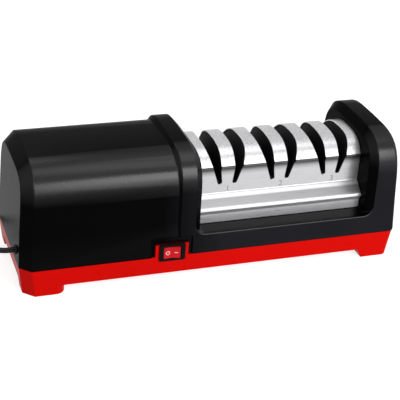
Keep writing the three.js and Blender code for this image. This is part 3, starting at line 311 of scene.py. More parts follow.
def red_abs():
    """ABS moulded in a polished tool: strong red with a satin gloss and faint flow
    marks. Its tab above the switch is painted near black, a painted shade under the
    black lip over it."""
    material, tree, shader, place = started(
        "ABS, moulded red", {"Specular IOR Level": 0.03}
    )
    flow = add(
        tree,
        "ShaderNodeTexNoise",
        {"Scale": per_mm(28), "Detail": 3.0},
        {"Vector": place},
    )
    skin = add(
        tree,
        "ShaderNodeTexNoise",
        {"Scale": per_mm(1.4), "Detail": 2.0},
        {"Vector": place},
    )
    tone = add(
        tree,
        "ShaderNodeMix",
        {
            "data_type": "RGBA",
            6: shade(colours().base, 0.93),
            7: shade(colours().base, 1.07),
        },
        {0: flow.outputs[0]},
    )
    apart = add(tree, "ShaderNodeSeparateXYZ", {}, {0: place})
    switch_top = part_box("switch_frame")[1][2]
    # Painted shade: the tab above the switch's top falls to 4 % of the red
    strip = add(
        tree,
        "ShaderNodeMapRange",
        {
            "From Min": switch_top - SHADE_STRIP_FROM,
            "From Max": switch_top - SHADE_STRIP_TO,
            "To Min": 1.0,
            "To Max": SHADE_STRIP_SHARE,
        },
        {"Value": apart.outputs[2]},
    )
    painted = add(
        tree,
        "ShaderNodeMix",
        {"data_type": "RGBA", "blend_type": "MULTIPLY", 0: 1.0},
        {6: tone.outputs[2], 7: strip.outputs[0]},
    )
    gloss = add(
        tree,
        "ShaderNodeMapRange",
        {"To Min": 0.3, "To Max": 0.4},
        {"Value": skin.outputs[0]},
    )
    edge = add(
        tree,
        "ShaderNodeBevel",
        {"samples": BEVEL_SAMPLES, "Radius": sizes().base_edge},
    )
    bump = add(
        tree,
        "ShaderNodeBump",
        {"Strength": 0.06, "Distance": 0.05 * MM},
        {"Height": skin.outputs[0], "Normal": edge.outputs[0]},
    )
    tree.links.new(painted.outputs[2], shader.inputs["Base Color"])
    tree.links.new(gloss.outputs[0], shader.inputs["Roughness"])
    tree.links.new(bump.outputs[0], shader.inputs["Normal"])
    return material


# Height on the cover in metres, and the share of the full tone it has there: painted
# highlights along the folds and the lower skirt, a darker painted band on the flat
# between them, and painted shade under the roof's edge
COVER_PAINTED_LIGHT_SHARES = (
    (0.0420, 1.50),
    (0.0540, 1.50),
    (0.0556, 1.30),
    (0.0566, 0.54),
    (0.0608, 0.50),
    (0.0618, 1.20),
    (0.0630, 1.20),
    (0.0636, 0.82),
    (0.0795, 0.82),
    (0.0825, 0.55),
    (0.0850, 0.14),
    (0.0880, 0.05),
    (0.0883, 1.05),
    (0.1020, 0.90),
)
# Heights in metres over which the roof's blasting sets in, and its strength there
BLASTED_FROM, BLASTED_TO = 0.088, 0.092
BLASTED_STRENGTH = 0.5
FOLD_RADIUS = 0.4 * MM


def brushed_cover():
    """Steel sheet in a satin silver finish, brushed along its length: pale, with fine
    lines that stretch the highlights across them. Its tone is set by height: painted
    highlights along the folds and the lower skirt, a darker painted band on the flat
    between them, and painted shade under the roof's edge, darkest in a thin line at the
    step. The roof is blasted to a coarse speckle, drawn at 1.6 mm because its real grit
    is too fine to show."""
    material, tree, shader, place = started(
        "steel sheet, satin silver, brushed lengthwise", {"Metallic": 0.8}
    )
    stretched = add(
        tree,
        "ShaderNodeMapping",
        {"Scale": (0.03, 1.0, 1.0)},
        {"Vector": place},
    )
    lines = add(
        tree,
        "ShaderNodeTexNoise",
        {"Scale": per_mm(0.5), "Detail": 5.0, "Roughness": 0.6},
        {"Vector": stretched.outputs[0]},
    )
    tone = add(
        tree,
        "ShaderNodeMix",
        {
            "data_type": "RGBA",
            6: shade(colours().cover, 0.8),
            7: shade(colours().cover, 1.2),
        },
        {0: lines.outputs[0]},
    )
    apart = add(tree, "ShaderNodeSeparateXYZ", {}, {0: place})
    low, high = COVER_PAINTED_LIGHT_SHARES[0][0], COVER_PAINTED_LIGHT_SHARES[-1][0]
    height = add(
        tree,
        "ShaderNodeMapRange",
        {"From Min": low, "From Max": high},
        {"Value": apart.outputs[2]},
    )
    # Painted highlights and painted shade, set by height on the cover
    painted_light_ramp = add(tree, "ShaderNodeValToRGB", {}, {0: height.outputs[0]})
    stops = painted_light_ramp.color_ramp.elements
    for z, _ in COVER_PAINTED_LIGHT_SHARES[1:-1]:
        stops.new((z - low) / (high - low))
    for stop, (_, share) in zip(stops, COVER_PAINTED_LIGHT_SHARES):
        stop.color = (share, share, share, 1.0)
    cover_light_tone = add(
        tree,
        "ShaderNodeMix",
        {"data_type": "RGBA", "blend_type": "MULTIPLY", 0: 1.0},
        {6: tone.outputs[2], 7: painted_light_ramp.outputs[0]},
    )
    grit = add(
        tree,
        "ShaderNodeTexNoise",
        {"Scale": per_mm(1.6), "Detail": 2.0, "Roughness": 0.7},
        {"Vector": place},
    )
    on_roof = add(
        tree,
        "ShaderNodeMapRange",
        {"From Min": BLASTED_FROM, "From Max": BLASTED_TO, "To Max": BLASTED_STRENGTH},
        {"Value": apart.outputs[2]},
    )
    blasted = add(
        tree,
        "ShaderNodeMix",
        {"data_type": "RGBA", "blend_type": "OVERLAY"},
        {0: on_roof.outputs[0], 6: cover_light_tone.outputs[2], 7: grit.outputs[0]},
    )
    gloss = add(
        tree,
        "ShaderNodeMapRange",
        {"To Min": 0.24, "To Max": 0.34},
        {"Value": lines.outputs[0]},
    )
    edge = add(
        tree,
        "ShaderNodeBevel",
        {"samples": BEVEL_SAMPLES, "Radius": FOLD_RADIUS},
    )
    bump = add(
        tree,
        "ShaderNodeBump",
        {"Strength": 0.1, "Distance": 0.03 * MM},
        {"Height": lines.outputs[0], "Normal": edge.outputs[0]},
    )
    tree.links.new(blasted.outputs[2], shader.inputs["Base Color"])
    tree.links.new(gloss.outputs[0], shader.inputs["Roughness"])
    tree.links.new(bump.outputs[0], shader.inputs["Normal"])
    return material


def simple_finish(name, low, high, size, rough, bump, settings=None, bump_size=None):
    """A finish with a mottled colour, an uneven gloss and a relief of its real size."""
    material, tree, shader, place = started(name, settings or {})
    mottle = add(
        tree,
        "ShaderNodeTexNoise",
        {"Scale": per_mm(size), "Detail": 4.0},
        {"Vector": place},
    )
    relief = add(
        tree,
        "ShaderNodeTexNoise",
        {"Scale": per_mm(bump_size or size), "Detail": 3.0},
        {"Vector": place},
    )
    tone = add(
        tree,
        "ShaderNodeMix",
        {"data_type": "RGBA", 6: linear(low), 7: linear(high)},
        {0: mottle.outputs[0]},
    )
    gloss = add(
        tree,
        "ShaderNodeMapRange",
        {"To Min": rough[0], "To Max": rough[1]},
        {"Value": mottle.outputs[0]},
    )
    height = add(
        tree,
        "ShaderNodeBump",
        {"Strength": bump, "Distance": 0.05 * MM},
        {"Height": relief.outputs[0]},
    )
    tree.links.new(tone.outputs[2], shader.inputs["Base Color"])
    tree.links.new(gloss.outputs[0], shader.inputs["Roughness"])
    tree.links.new(height.outputs[0], shader.inputs["Normal"])
    return material


# Name, darkest and palest colour, size of the mottle in mm, range of the roughness,
# strength of the relief, settings of the shader, and size of the relief in mm
FINISHES = {
    "liner": (
        "ABS, matt black",
        "040404",
        "070708",
        12,
        (0.5, 0.6),
        0.1,
        {"Specular IOR Level": 0.1},
        0.8,
    ),
    "bezel": (
        "PA66, moulded gloss black",
        "060607",
        "0a0a0b",
        8,
        (0.2, 0.28),
        0.04,
        {"Specular IOR Level": 0.05},
        1.2,
    ),
    "pad": ("rubber, moulded", "1a1a1a", "232323", 2, (0.75, 0.85), 0.2, {}, 0.5),
    "cord": (
        "PVC, extruded black",
        "080809",
        "0e0e0f",
        6,
        (0.42, 0.52),
        0.08,
        {"Specular IOR Level": 0.15},
        0.7,
    ),
    "print": (
        "ink, screen printed grey",
        "6d6d70",
        "7b7b7e",
        1.5,
        (0.5, 0.6),
        0.05,
        {},
        0.5,
    ),
    "mark": (
        "ink, pad printed white",
        "e9e4e2",
        "f6f2f0",
        1.5,
        (0.4, 0.5),
        0.05,
        {},
        0.5,
    ),
    "zinc": (
        "steel, zinc plated",
        "9fa1a4",
        "b7b9bc",
        1.2,
        (0.3, 0.45),
        0.1,
        {"Metallic": 1.0},
        0.4,
    ),
    "ground": (
        "steel, ground",
        "a9abae",
        "c2c4c6",
        0.8,
        (0.18, 0.3),
        0.06,
        {"Metallic": 1.0},
        0.3,
    ),
    "can": (
        "steel, deep drawn and passivated",
        "77797c",
        "8e9093",
        5,
        (0.35, 0.5),
        0.08,
        {"Metallic": 1.0},
        0.8,
    ),
    "brass": (
        "brass, nickel flashed",
        "b9a06a",
        "d0b983",
        1.5,
        (0.22, 0.34),
        0.06,
        {"Metallic": 1.0},
        0.4,
    ),
    "copper": (
        "copper wire, enamelled",
        "8d4a26",
        "b0653a",
        0.7,
        (0.25, 0.4),
        0.4,
        {"Metallic": 1.0},
        0.7,
    ),
    "nylon": ("PA66, natural", "d9d4c6", "e6e2d6", 7, (0.4, 0.5), 0.08, {}, 1.0),
    "ferrite": (
        "ferrite, pressed and fired",
        "2e2e30",
        "3c3c3f",
        2,
        (0.6, 0.75),
        0.2,
        {},
        0.6,
    ),
    "carbon": ("carbon, pressed", "1b1b1b", "292929", 1, (0.5, 0.65), 0.2, {}, 0.4),
    "diamond": (
        "steel, nickel plated with diamond grit",
        "6f706e",
        "a5a6a2",
        0.5,
        (0.35, 0.6),
        0.8,
        {"Metallic": 0.8},
        0.4,
    ),
    "stone": (
        "ceramic, bonded grit",
        "cfcabd",
        "e4e0d5",
        0.6,
        (0.7, 0.85),
        0.5,
        {},
        0.5,
    ),
    "capacitor": (
        "epoxy, dipped yellow",
        "c99f12",
        "dcb42a",
        3,
        (0.2, 0.3),
        0.1,
        {},
        1.5,
    ),
    "coupler": (
        "rubber, moulded coupling",
        "1b1b1c",
        "262627",
        2,
        (0.6, 0.7),
        0.2,
        {},
        0.6,
    ),
}


def finish_of(key):
    """The finish of that name, made where it is first used."""
    name = FINISHES[key][0]
    return bpy.data.materials.get(name) or simple_finish(*FINISHES[key])


def rocker_lens():
    """Polycarbonate, moulded in clear red: a deep gloss red that lets light through."""
    material, tree, shader, place = started(
        "polycarbonate, clear red",
        {"Specular IOR Level": 0.12, "Transmission Weight": 0.1},
    )
    depth = add(
        tree,
        "ShaderNodeTexNoise",
        {"Scale": per_mm(5), "Detail": 2.0},
        {"Vector": place},
    )
    tone = add(
        tree,
        "ShaderNodeMix",
        {
            "data_type": "RGBA",
            6: shade(colours().rocker, 0.85),
            7: shade(colours().rocker, 1.15),
        },
        {0: depth.outputs[0]},
    )
    gloss = add(
        tree,
        "ShaderNodeMapRange",
        {"To Min": 0.14, "To Max": 0.24},
        {"Value": depth.outputs[0]},
    )
    tree.links.new(tone.outputs[2], shader.inputs["Base Color"])
    tree.links.new(gloss.outputs[0], shader.inputs["Roughness"])
    return material


# Sizes and colours that a user would change
class SharpenerSizes(bpy.types.PropertyGroup):
    """Sizes of the cord, the rounded edges and the stage numbers"""

    cord_width: bpy.props.FloatProperty(
        name="Cord width",
        description="Width of the flat two-core cord",
        default=5.4 * MM,
        unit="LENGTH",
    )
    cord_thickness: bpy.props.FloatProperty(
        name="Cord thickness",
        description="Thickness of the flat two-core cord",
        default=3.4 * MM,
        unit="LENGTH",
    )
    housing_edge: bpy.props.FloatProperty(
        name="Housing edge radius",
        description="Rounding of the black housing's moulded edges",
        default=1.4 * MM,
        unit="LENGTH",
    )
    base_edge: bpy.props.FloatProperty(
        name="Base edge radius",
        description="Rounding of the red base's moulded edges",
        default=0.8 * MM,
        unit="LENGTH",
    )
    number_height: bpy.props.FloatProperty(
        name="Number height",
        description="Height of the stage numbers on the cover",
        default=5.2 * MM,
        unit="LENGTH",
    )


class SharpenerColours(bpy.types.PropertyGroup):
    """Colours of the pieces that show"""

    housing: bpy.props.FloatVectorProperty(
        name="Housing",
        description="Colour of the moulded housing",
        subtype="COLOR",
        size=4,
        min=0,
        max=1,
        default=linear("050506"),
    )
    base: bpy.props.FloatVectorProperty(
        name="Base",
        description="Colour of the moulded base",
        subtype="COLOR",
        size=4,
        min=0,
        max=1,
        default=linear("cc0a05"),
    )
    cover: bpy.props.FloatVectorProperty(
        name="Guide cover",
        description="Colour of the brushed guide cover",
        subtype="COLOR",
        size=4,
        min=0,
        max=1,
        default=linear("c8c8ca"),
    )
    rocker: bpy.props.FloatVectorProperty(
        name="Rocker",
        description="Colour of the switch's clear rocker",
        subtype="COLOR",
        size=4,
        min=0,
        max=1,
        default=linear("c80a12"),
    )


def sizes():
    """The sizes in force."""
    return bpy.context.scene.sharpener_sizes


def colours():
    """The colours in force."""
    return bpy.context.scene.sharpener_colours


def shade(colour, share):
    """The colour with its strength multiplied by a share."""
    return (*[min(1.0, c * share) for c in colour[:3]], 1.0)


# Route of the cord in millimetres, as its solids have it
CORD_LEAD = [
    (-159, -33, 34),
    (-161, -33, 34),
    (-169, -33, 34),
    (-176, -30, 34),
    (-181.5, -23.5, 34),
    (-184, -12, 33.4),
    (-184, 2, 29.4),
    (-184, 16, 20.8),
    (-184, 30, 10.4),
    (-184, 40, 4.4),
    (-184, 49, 2),
    (-184, 57, 1.75),
    (-178.5, 68.5, 1.75),
    (-168, 76.5, 1.75),
    (-153, 79, 1.75),
    (-111, 79, 1.75),
    (-61, 79, 1.75),
    (-10.8, 79, 1.75),
]
COIL_CENTRE = (0.0, 119.0)
COIL_RADIUS = 40.0
COIL_INNER = 21.4
COIL_DIP = 2.4
COIL_LAYER = 4.0
COIL_TURNS = 3
COIL_STEPS = 24
CORD_FLOOR = 1.75
COIL_LEAD_IN = 5.4
# From the coil to the plug: how far left of the coil's centre, and how high
PLUG_LEAD = ((16.2, 6.4), (32.4, 7.05), (39.2, 7.05))
ROUTE_SPACING = 3.0
# Each of the cord's two cores is round but for the side that meets the other
CORE_ARC = 144
CORE_STEPS = 8
GROOVE_SHARE = 0.72


def ease(share):
    """A share from 0 to 1 with a soft start and end."""
    return (1 - math.cos(min(1.0, max(0.0, share)) * math.pi)) / 2


def coil_points():
    """The coil: three turns inwards on the table, and three outwards on top of them."""
    cx, cy = COIL_CENTRE
    half = COIL_STEPS // 2
    spiral = COIL_TURNS * COIL_STEPS
    points = [(cx - COIL_LEAD_IN, cy - COIL_RADIUS, CORD_FLOOR)]

    def place(step, radius, z):
        angle = step / COIL_STEPS * 2 * math.pi
        points.append((cx + radius * math.sin(angle), cy - radius * math.cos(angle), z))

    for i in range(spiral + 1):
        dip = COIL_DIP * ease((i - spiral + half) / half)
        radius = COIL_RADIUS + (COIL_INNER - COIL_RADIUS) * i / spiral - dip
        place(i, radius, CORD_FLOOR)
    for i in range(1, half):
        z = CORD_FLOOR + COIL_LAYER * ease(i / half)
        place(i + spiral, COIL_INNER - COIL_DIP, z)
    for i in range(spiral + 1):
        dip = COIL_DIP * ease((half - i) / half)
        radius = COIL_INNER + (COIL_RADIUS - COIL_INNER) * i / spiral - dip
        place(i + spiral + half, radius, CORD_FLOOR + COIL_LAYER)
    points += [(cx - back, cy + COIL_RADIUS, z) for back, z in PLUG_LEAD]
    return points


def smooth_route(points, spacing):
    """Points along a curve through the route, that far apart in millimetres."""
    points = [Vector(p) for p in points]
    padded = [2 * points[0] - points[1], *points, 2 * points[-1] - points[-2]]
    route = []
    for a, b, c, d in zip(padded, padded[1:], padded[2:], padded[3:]):
        knots = [0.0]
        for p, q in ((a, b), (b, c), (c, d)):
            knots.append(knots[-1] + max(1e-6, (q - p).length) ** 0.5)
        t0, t1, t2, t3 = knots
        count = max(1, round((c - b).length / spacing))
        for i in range(count):
            t = t1 + (t2 - t1) * i / count
            a1 = a * ((t1 - t) / (t1 - t0)) + b * ((t - t0) / (t1 - t0))
            a2 = b * ((t2 - t) / (t2 - t1)) + c * ((t - t1) / (t2 - t1))
            a3 = c * ((t3 - t) / (t3 - t2)) + d * ((t - t2) / (t3 - t2))
            b1 = a1 * ((t2 - t) / (t2 - t0)) + a2 * ((t - t0) / (t2 - t0))
            b2 = a2 * ((t3 - t) / (t3 - t1)) + a3 * ((t - t1) / (t3 - t1))
            route.append(b1 * ((t2 - t) / (t2 - t1)) + b2 * ((t - t1) / (t2 - t1)))
    route.append(points[-1])
    return route


def twin_section(width, thickness):
    """Two round cores side by side with a groove between them."""
    radius = thickness / 2
    offset = width / 2 - radius
    groove = radius * GROOVE_SHARE
    points = []
    for side, start in ((1, -72), (-1, 108)):
        for i in range(CORE_STEPS + 1):
            angle = math.radians(start + CORE_ARC * i / CORE_STEPS)
            across, up = radius * math.cos(angle), radius * math.sin(angle)
            points.append((side * offset + across, up))
        points.append((0.0, side * groove))
    return points


def cord_mesh(name, route, section, material, body):
    """The section swept along the route, kept level, with closed ends."""
    verts, faces = [], []
    count = len(section)
    for i, point in enumerate(route):
        ahead = route[min(i + 1, len(route) - 1)]
        behind = route[max(i - 1, 0)]
        along = (ahead - behind).normalized()
        side = along.cross(Vector((0, 0, 1))).normalized()
        up = side.cross(along)
        verts += [point + side * u + up * v for u, v in section]
    for i in range(len(route) - 1):
        for k in range(count):
            a, b = i * count + k, i * count + (k + 1) % count
            faces.append((a, b, b + count, a + count))
    faces.append(tuple(range(count - 1, -1, -1)))
    last = (len(route) - 1) * count
    faces.append(tuple(range(last, last + count)))
    return made(name, [v * MM for v in verts], faces, material, body)


# Camera, fitted to the photograph's perspective: metres, unit vectors and pixels
CAMERA_PLACE = (-0.30201761, -0.81870741, 0.51043343)
CAMERA_RIGHT = (0.94671192, -0.31573709, 0.06361315)
CAMERA_UP = (0.09651444, 0.46653215, 0.87922279)
CAMERA_AHEAD = (0.30728083, 0.82623111, -0.47214474)
CAMERA_FOCUS_PX = 1169.7796
FRAME_PX = 400
SENSOR_MM = 36.0


class SHARPENER_OT_camera(bpy.types.Operator):
    """Place the camera at the photograph's viewing angle"""

    bl_idname = "sharpener.camera"
    bl_label = "Camera"

    def execute(self, context):
        data = bpy.data.cameras.new("camera")
        data.sensor_width = SENSOR_MM
        data.lens = SENSOR_MM * CAMERA_FOCUS_PX / FRAME_PX
        data.clip_start = 0.01
        camera = bpy.data.objects.new("camera", data)
        context.scene.collection.objects.link(camera)
        right, up, ahead = map(Vector, (CAMERA_RIGHT, CAMERA_UP, CAMERA_AHEAD))
        turn = Matrix((right, up, -ahead)).transposed().to_4x4()
        camera.matrix_world = Matrix.Translation(CAMERA_PLACE) @ turn
        context.scene.camera = camera
        return {"FINISHED"}


class SHARPENER_OT_mains_cord(bpy.types.Operator):
    """Lay the flat mains cord, its coil, its grommet and its plug"""

    bl_idname = "sharpener.mains_cord"
    bl_label = "Mains cord"

    def execute(self, context):
        width, thickness = sizes().cord_width / MM, sizes().cord_thickness / MM
        lead = smooth_route(CORD_LEAD, ROUTE_SPACING)
        route = lead[:-1] + smooth_route(coil_points(), ROUTE_SPACING)
        section = twin_section(width, thickness)
        cord = cord_mesh("flat_cord", route, section, finish_of("cord"), "housing")
        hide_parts("mains_cord", "cord_coil")
        for name in ("strain_relief", "mains_plug"):
            dress(name, finish_of("cord"))
            soften(nodes[name], width=0.6 if name == "mains_plug" else 0.3)
        for name in ("plug_pin_front", "plug_pin_rear"):
            dress(name, finish_of("brass"))
            soften(nodes[name], width=0)
        return {"FINISHED"}


class SHARPENER_OT_housing(bpy.types.Operator):
    """Finish the black housing"""

    bl_idname = "sharpener.housing"
    bl_label = "Housing"

    def execute(self, context):
        dress("upper_housing", black_abs())
        soften(nodes["upper_housing"], width=sizes().housing_edge / MM, angle=22)
        return {"FINISHED"}


class SHARPENER_OT_base(bpy.types.Operator):
    """Finish the red base, its pads and its screws"""

    bl_idname = "sharpener.base"
    bl_label = "Base"

    def execute(self, context):
        dress("base_tray", red_abs())
        soften(nodes["base_tray"], width=sizes().base_edge / MM)
        for name in nodes:
            if name.startswith("foot_pad"):
                dress(name, finish_of("pad"))
                soften(nodes[name], width=0.2)
            if name.startswith("case_screw"):
                dress(name, finish_of("zinc"))
                soften(nodes[name], width=0)
        return {"FINISHED"}


class SHARPENER_OT_guide(bpy.types.Operator):
    """Finish the guide cover and its liner, and print the stage numbers"""

    bl_idname = "sharpener.guide"
    bl_label = "Guide cover"

    def execute(self, context):
        dress("guide_cover", brushed_cover())
        soften(nodes["guide_cover"], width=0.25, angle=25, segments=2)
        dress("slot_liner", finish_of("liner"))
        soften(nodes["slot_liner"], width=0)
        for text, x in STAGE_NUMBERS.items():
            stage_number(text, x * MM)
        return {"FINISHED"}


# Each stage's number and its X in millimetres, and the Y and Z of all three
STAGE_NUMBERS = {"1": 15.0, "2": 61.7, "3": 108.2}
NUMBER_Y, NUMBER_Z = -29.02, 67.5
# Size of a font whose figures are 1 high
FONT_SIZE_PER_HEIGHT = 1.38


def stage_number(text, x):
    """A printed number on the cover's front face."""
    curve = bpy.data.curves.new(f"stage_number_{text}", "FONT")
    curve.body = text
    curve.size = sizes().number_height * FONT_SIZE_PER_HEIGHT
    curve.align_x = "CENTER"
    curve.align_y = "CENTER"
    curve.extrude = 0.02 * MM
    curve.materials.append(finish_of("print"))
    number = bpy.data.objects.new(f"stage_number_{text}", curve)
    bpy.context.scene.collection.objects.link(number)
    upright = Matrix.Rotation(math.radians(90), 4, "X")
    place = Matrix.Translation((x, NUMBER_Y * MM, NUMBER_Z * MM))
    number.matrix_world = place @ upright
    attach(number, "housing")


class SHARPENER_OT_switch(bpy.types.Operator):
    """Finish the rocker switch and print its marks"""

    bl_idname = "sharpener.switch"
    bl_label = "Rocker switch"

    def execute(self, context):
        dress("switch_frame", finish_of("bezel"))
        soften(nodes["switch_frame"], width=0.3)
        dress("switch_rocker", rocker_lens())
        soften(nodes["switch_rocker"], width=0.5, angle=20)
        dress("switch_terminal_in", finish_of("brass"))
        dress("switch_terminal_out", finish_of("brass"))
        rocker_marks()
        return {"FINISHED"}


# The rocker as its solid has it, in millimetres: its pivot, half its length, how far
# its face stands from the pivot, the dip in the middle of its face, and its turn at rest
ROCKER_PIVOT = Vector((-38.4, -50.2, 28.6))
ROCKER_HALF = 6.85
ROCKER_FACE = 6.6
ROCKER_DISH = 1.3
ROCKER_REST = math.radians(-5)
# Its marks: radii inside and outside the ring, half the length and breadth of the bar
RING_RADII = (1.3, 1.7)
RING_STEPS = 40
BAR_LENGTH, BAR_BREADTH = 1.5, 0.2
PRINT_STANDS = 0.03


def on_rocker(side, u, v):
    """A printed point on half of the rocker's face: u along from its middle, v up."""
    slope = Vector((ROCKER_HALF, side * -ROCKER_DISH, 0)).normalized()
    middle = Vector((side * ROCKER_HALF / 2, -ROCKER_FACE + ROCKER_DISH / 2, 0))
    out = Vector((-side * ROCKER_DISH, -ROCKER_HALF, 0)).normalized()
    point = middle + slope * u + out * PRINT_STANDS + Vector((0, 0, v))
    return (ROCKER_PIVOT + Matrix.Rotation(ROCKER_REST, 3, "Z") @ point) * MM


def rocker_marks():
    """The O and the bar of the rocker switch, printed on its two halves."""
    verts, faces = [], []
    for i in range(RING_STEPS):
        angle = i / RING_STEPS * 2 * math.pi
        for radius in RING_RADII:
            u, v = radius * math.cos(angle), radius * math.sin(angle)
            verts.append(on_rocker(-1, u, v))
        a, b = 2 * i, 2 * ((i + 1) % RING_STEPS)
        faces.append((a, a + 1, b + 1, b))
    ring = made("rocker_mark_off", verts, faces, finish_of("mark"), "rocker")
    corners = [(-1, -1), (1, -1), (1, 1), (-1, 1)]
    bar = made(
        "rocker_mark_on",
        [on_rocker(1, u * BAR_LENGTH, v * BAR_BREADTH) for u, v in corners],
        [(0, 1, 2, 3)],
        finish_of("mark"),
        "rocker",
        smooth=False,
    )


def half_spring(name, side):
    """The half of a wheel spring on one side of its stage, cut off at the spring's
    middle."""
    low, high = (Vector(corner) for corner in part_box(name))
    middle = (low + high) / 2
    outward = Vector((-1 if side == "left" else 1, 0, 0))
    form = bmesh.new()
    form.from_mesh(nodes[name].data)
    bmesh.ops.remove_doubles(form, verts=form.verts[:], dist=WELD_REACH)
    bmesh.ops.bisect_plane(
        form,
        geom=form.verts[:] + form.edges[:] + form.faces[:],
        plane_co=middle,
        plane_no=-outward,
        clear_outer=True,
    )
    bmesh.ops.holes_fill(form, edges=form.edges[:])
    mesh = bpy.data.meshes.new(f"{name}_{side}")
    form.to_mesh(mesh)
    form.free()
    mesh.materials.append(finish_of("ground"))
    half = bpy.data.objects.new(f"{name}_{side}", mesh)
    bpy.context.scene.collection.objects.link(half)
    soften(half, width=0, angle=60)
    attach(half, "spindle")
    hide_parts(name)
    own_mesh(half)


class SHARPENER_OT_wheels(bpy.types.Operator):
    """Finish the abrasive wheels, the spindle and its bearings"""

    bl_idname = "sharpener.wheels"
    bl_label = "Wheels and spindle"

    def execute(self, context):
        for name in nodes:
            if "_wheel_" in name:
                polishing = name.startswith("polishing")
                dress(name, finish_of("stone" if polishing else "diamond"))
                soften(nodes[name], width=0.15)
            elif "_clip_" in name:
                dress(name, finish_of("ground"))
                soften(nodes[name], width=0, angle=60)
            elif name.endswith("_spring"):
                dress(name, finish_of("ground"))
                for side in ("left", "right"):
                    half_spring(name, side)
        for name in ("wheel_spindle", "spindle_bearing_left", "spindle_bearing_right"):
            dress(name, finish_of("ground"))
            soften(nodes[name], width=0.1)
        dress("drive_coupling", finish_of("coupler"))
        soften(nodes["drive_coupling"], width=0.3)
        for name in ("bearing_pedestal_left", "bearing_pedestal_right"):
            dress(name, finish_of("liner"))
            soften(nodes[name], width=0.3)
        return {"FINISHED"}


MOTOR_FINISHES = {
    "motor_can": "can",
    "motor_end_cap": "nylon",
    "field_magnet_front": "ferrite",
    "field_magnet_rear": "ferrite",
    "armature_core": "can",
    "winding_end_left": "copper",
    "winding_end_right": "copper",
    "commutator": "copper",
    "carbon_brush_front": "carbon",
    "carbon_brush_rear": "carbon",
    "motor_shaft": "ground",
    "cooling_fan": "nylon",
    "motor_cradle_left": "liner",
    "motor_cradle_right": "liner",
    "suppressor_capacitor": "capacitor",
}


class SHARPENER_OT_motor(bpy.types.Operator):
    """Finish the motor inside the housing"""

    bl_idname = "sharpener.motor"
    bl_label = "Motor"

    def execute(self, context):
        for name, key in MOTOR_FINISHES.items():
            dress(name, finish_of(key))
            soften(nodes[name], width=0.2)
        return {"FINISHED"}


# Place and target of each lamp, its width and height, in metres, and its power in watts
LAMPS = {
    "front lamp": ((0.22, -1.0, 0.48), (0.22, 0, 0.06), (0.36, 0.6), 5.2),
    "right lamp": ((0.58, -1.0, 0.48), (0.58, 0, 0.06), (0.36, 0.6), 6.0),
    "top lamp": ((0.2, -0.06, 0.95), (0.16, 0, 0.05), (0.5, 0.7), 1.5),
    "rear lamp": ((-0.15, 0.9, 0.95), (0, 0, 0.05), (0.5, 0.5), 2.5),
    "left lamp": ((-0.75, -0.7, 0.6), (-0.1, 0, 0.05), (0.4, 0.4), 2.8),
}
FLOOR_REACH = 6.0
FLOOR_TONES = ("cacaca", "d0d0d0")
# Glow that lifts the floor to white for the camera, and the world's light on the object
FLOOR_GLOW = 0.75
SOFT_LIGHT = 0.2


class SHARPENER_OT_stage(bpy.types.Operator):
    """Lay the floor and set the lamps"""

    bl_idname = "sharpener.stage"
    bl_label = "Stage"

    def execute(self, context):
        studio_floor()
        studio_world(context.scene)
        for name, settings in LAMPS.items():
            lamp(name, *settings)
        context.scene.view_settings.view_transform = "Standard"
        return {"FINISHED"}


def seen_directly(tree):
    """1 where the camera, a reflection or glass looks, to make the backdrop white."""
    path = add(tree, "ShaderNodeLightPath")
    either = add(
        tree,
        "ShaderNodeMath",
        {"operation": "MAXIMUM"},
        {0: path.outputs["Is Camera Ray"], 1: path.outputs["Is Glossy Ray"]},
    )
    return add(
        tree,
        "ShaderNodeMath",
        {"operation": "MAXIMUM"},
        {0: either.outputs[0], 1: path.outputs["Is Transmission Ray"]},
    ).outputs[0]


def studio_floor():
    """Painted studio floor: white, and a little darker where the object shades it."""
    material, tree, shader, place = started(
        "paint, matt white floor", {"Roughness": 0.9, "Emission Color": (1, 1, 1, 1)}
    )
    dust = add(
        tree,
        "ShaderNodeTexNoise",
        {"Scale": per_mm(60), "Detail": 2.0},
        {"Vector": place},
    )
    tone = add(
        tree,
        "ShaderNodeMix",
        {"data_type": "RGBA", 6: linear(FLOOR_TONES[0]), 7: linear(FLOOR_TONES[1])},
        {0: dust.outputs[0]},
    )
    tree.links.new(tone.outputs[2], shader.inputs["Base Color"])
    lift = add(
        tree,
        "ShaderNodeMath",
        {"operation": "MULTIPLY", 1: FLOOR_GLOW},
        {0: seen_directly(tree)},
    )
    tree.links.new(lift.outputs[0], shader.inputs["Emission Strength"])
    mesh = bpy.data.meshes.new("floor")
    corners = [(-1, -1), (1, -1), (1, 1), (-1, 1)]
    verts = [(x * FLOOR_REACH, y * FLOOR_REACH, 0) for x, y in corners]
    mesh.from_pydata(verts, [], [(0, 1, 2, 3)])
    mesh.materials.append(material)
    floor = bpy.data.objects.new("floor", mesh)
    bpy.context.scene.collection.objects.link(floor)


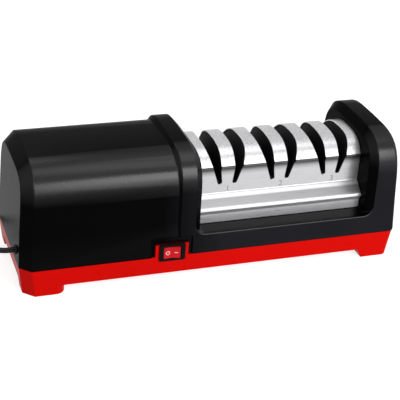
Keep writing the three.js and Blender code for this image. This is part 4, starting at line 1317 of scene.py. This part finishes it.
def studio_world(scene):
    """A white backdrop that gives the object only a little light."""
    world = bpy.data.worlds.new("studio")
    world.use_nodes = True
    tree = world.node_tree
    tree.nodes.clear()
    strength = add(
        tree,
        "ShaderNodeMapRange",
        {"To Min": SOFT_LIGHT, "To Max": 1.0},
        {"Value": seen_directly(tree)},
    )
    background = add(
        tree,
        "ShaderNodeBackground",
        {"Color": (1, 1, 1, 1)},
        {"Strength": strength.outputs[0]},
    )
    out = add(tree, "ShaderNodeOutputWorld")
    tree.links.new(background.outputs[0], out.inputs[0])
    scene.world = world


def lamp(name, place, target, size, power):
    """A soft box that faces its target."""
    data = bpy.data.lights.new(name, "AREA")
    data.shape = "RECTANGLE"
    data.size, data.size_y = size
    data.energy = power
    obj = bpy.data.objects.new(name, data)
    bpy.context.scene.collection.objects.link(obj)
    turn = (Vector(target) - Vector(place)).to_track_quat("-Z", "Y")
    obj.matrix_world = Matrix.Translation(place) @ turn.to_matrix().to_4x4()


OPERATORS = (
    SHARPENER_OT_camera,
    SHARPENER_OT_mains_cord,
    SHARPENER_OT_housing,
    SHARPENER_OT_base,
    SHARPENER_OT_guide,
    SHARPENER_OT_switch,
    SHARPENER_OT_wheels,
    SHARPENER_OT_motor,
    SHARPENER_OT_stage,
)


class SHARPENER_PT_sidebar(bpy.types.Panel):
    """Sizes, colours and a button for each group of pieces"""

    bl_idname = "SHARPENER_PT_sidebar"
    bl_label = "Sharpener"
    bl_space_type = "VIEW_3D"
    bl_region_type = "UI"
    bl_category = "Sharpener"

    def draw(self, context):
        for group in (sizes(), colours()):
            for name in group.bl_rna.properties.keys():
                if name not in ("rna_type", "name"):
                    self.layout.prop(group, name)
        for operator in OPERATORS:
            self.layout.operator(operator.bl_idname)


CLASSES = (SharpenerSizes, SharpenerColours, *OPERATORS, SHARPENER_PT_sidebar)


def register():
    """Adds the classes, and the sizes and colours to the scene."""
    for cls in CLASSES:
        bpy.utils.register_class(cls)
    bpy.types.Scene.sharpener_sizes = bpy.props.PointerProperty(type=SharpenerSizes)
    bpy.types.Scene.sharpener_colours = bpy.props.PointerProperty(type=SharpenerColours)


def unregister():
    """Takes away what register added."""
    del bpy.types.Scene.sharpener_colours
    del bpy.types.Scene.sharpener_sizes
    for cls in reversed(CLASSES):
        bpy.utils.unregister_class(cls)


def main():
    """Makes every group of pieces in turn."""
    register()
    for operator in OPERATORS:
        area, action = operator.bl_idname.split(".")
        getattr(getattr(bpy.ops, area), action)()


if __name__ == "__main__":
    main()
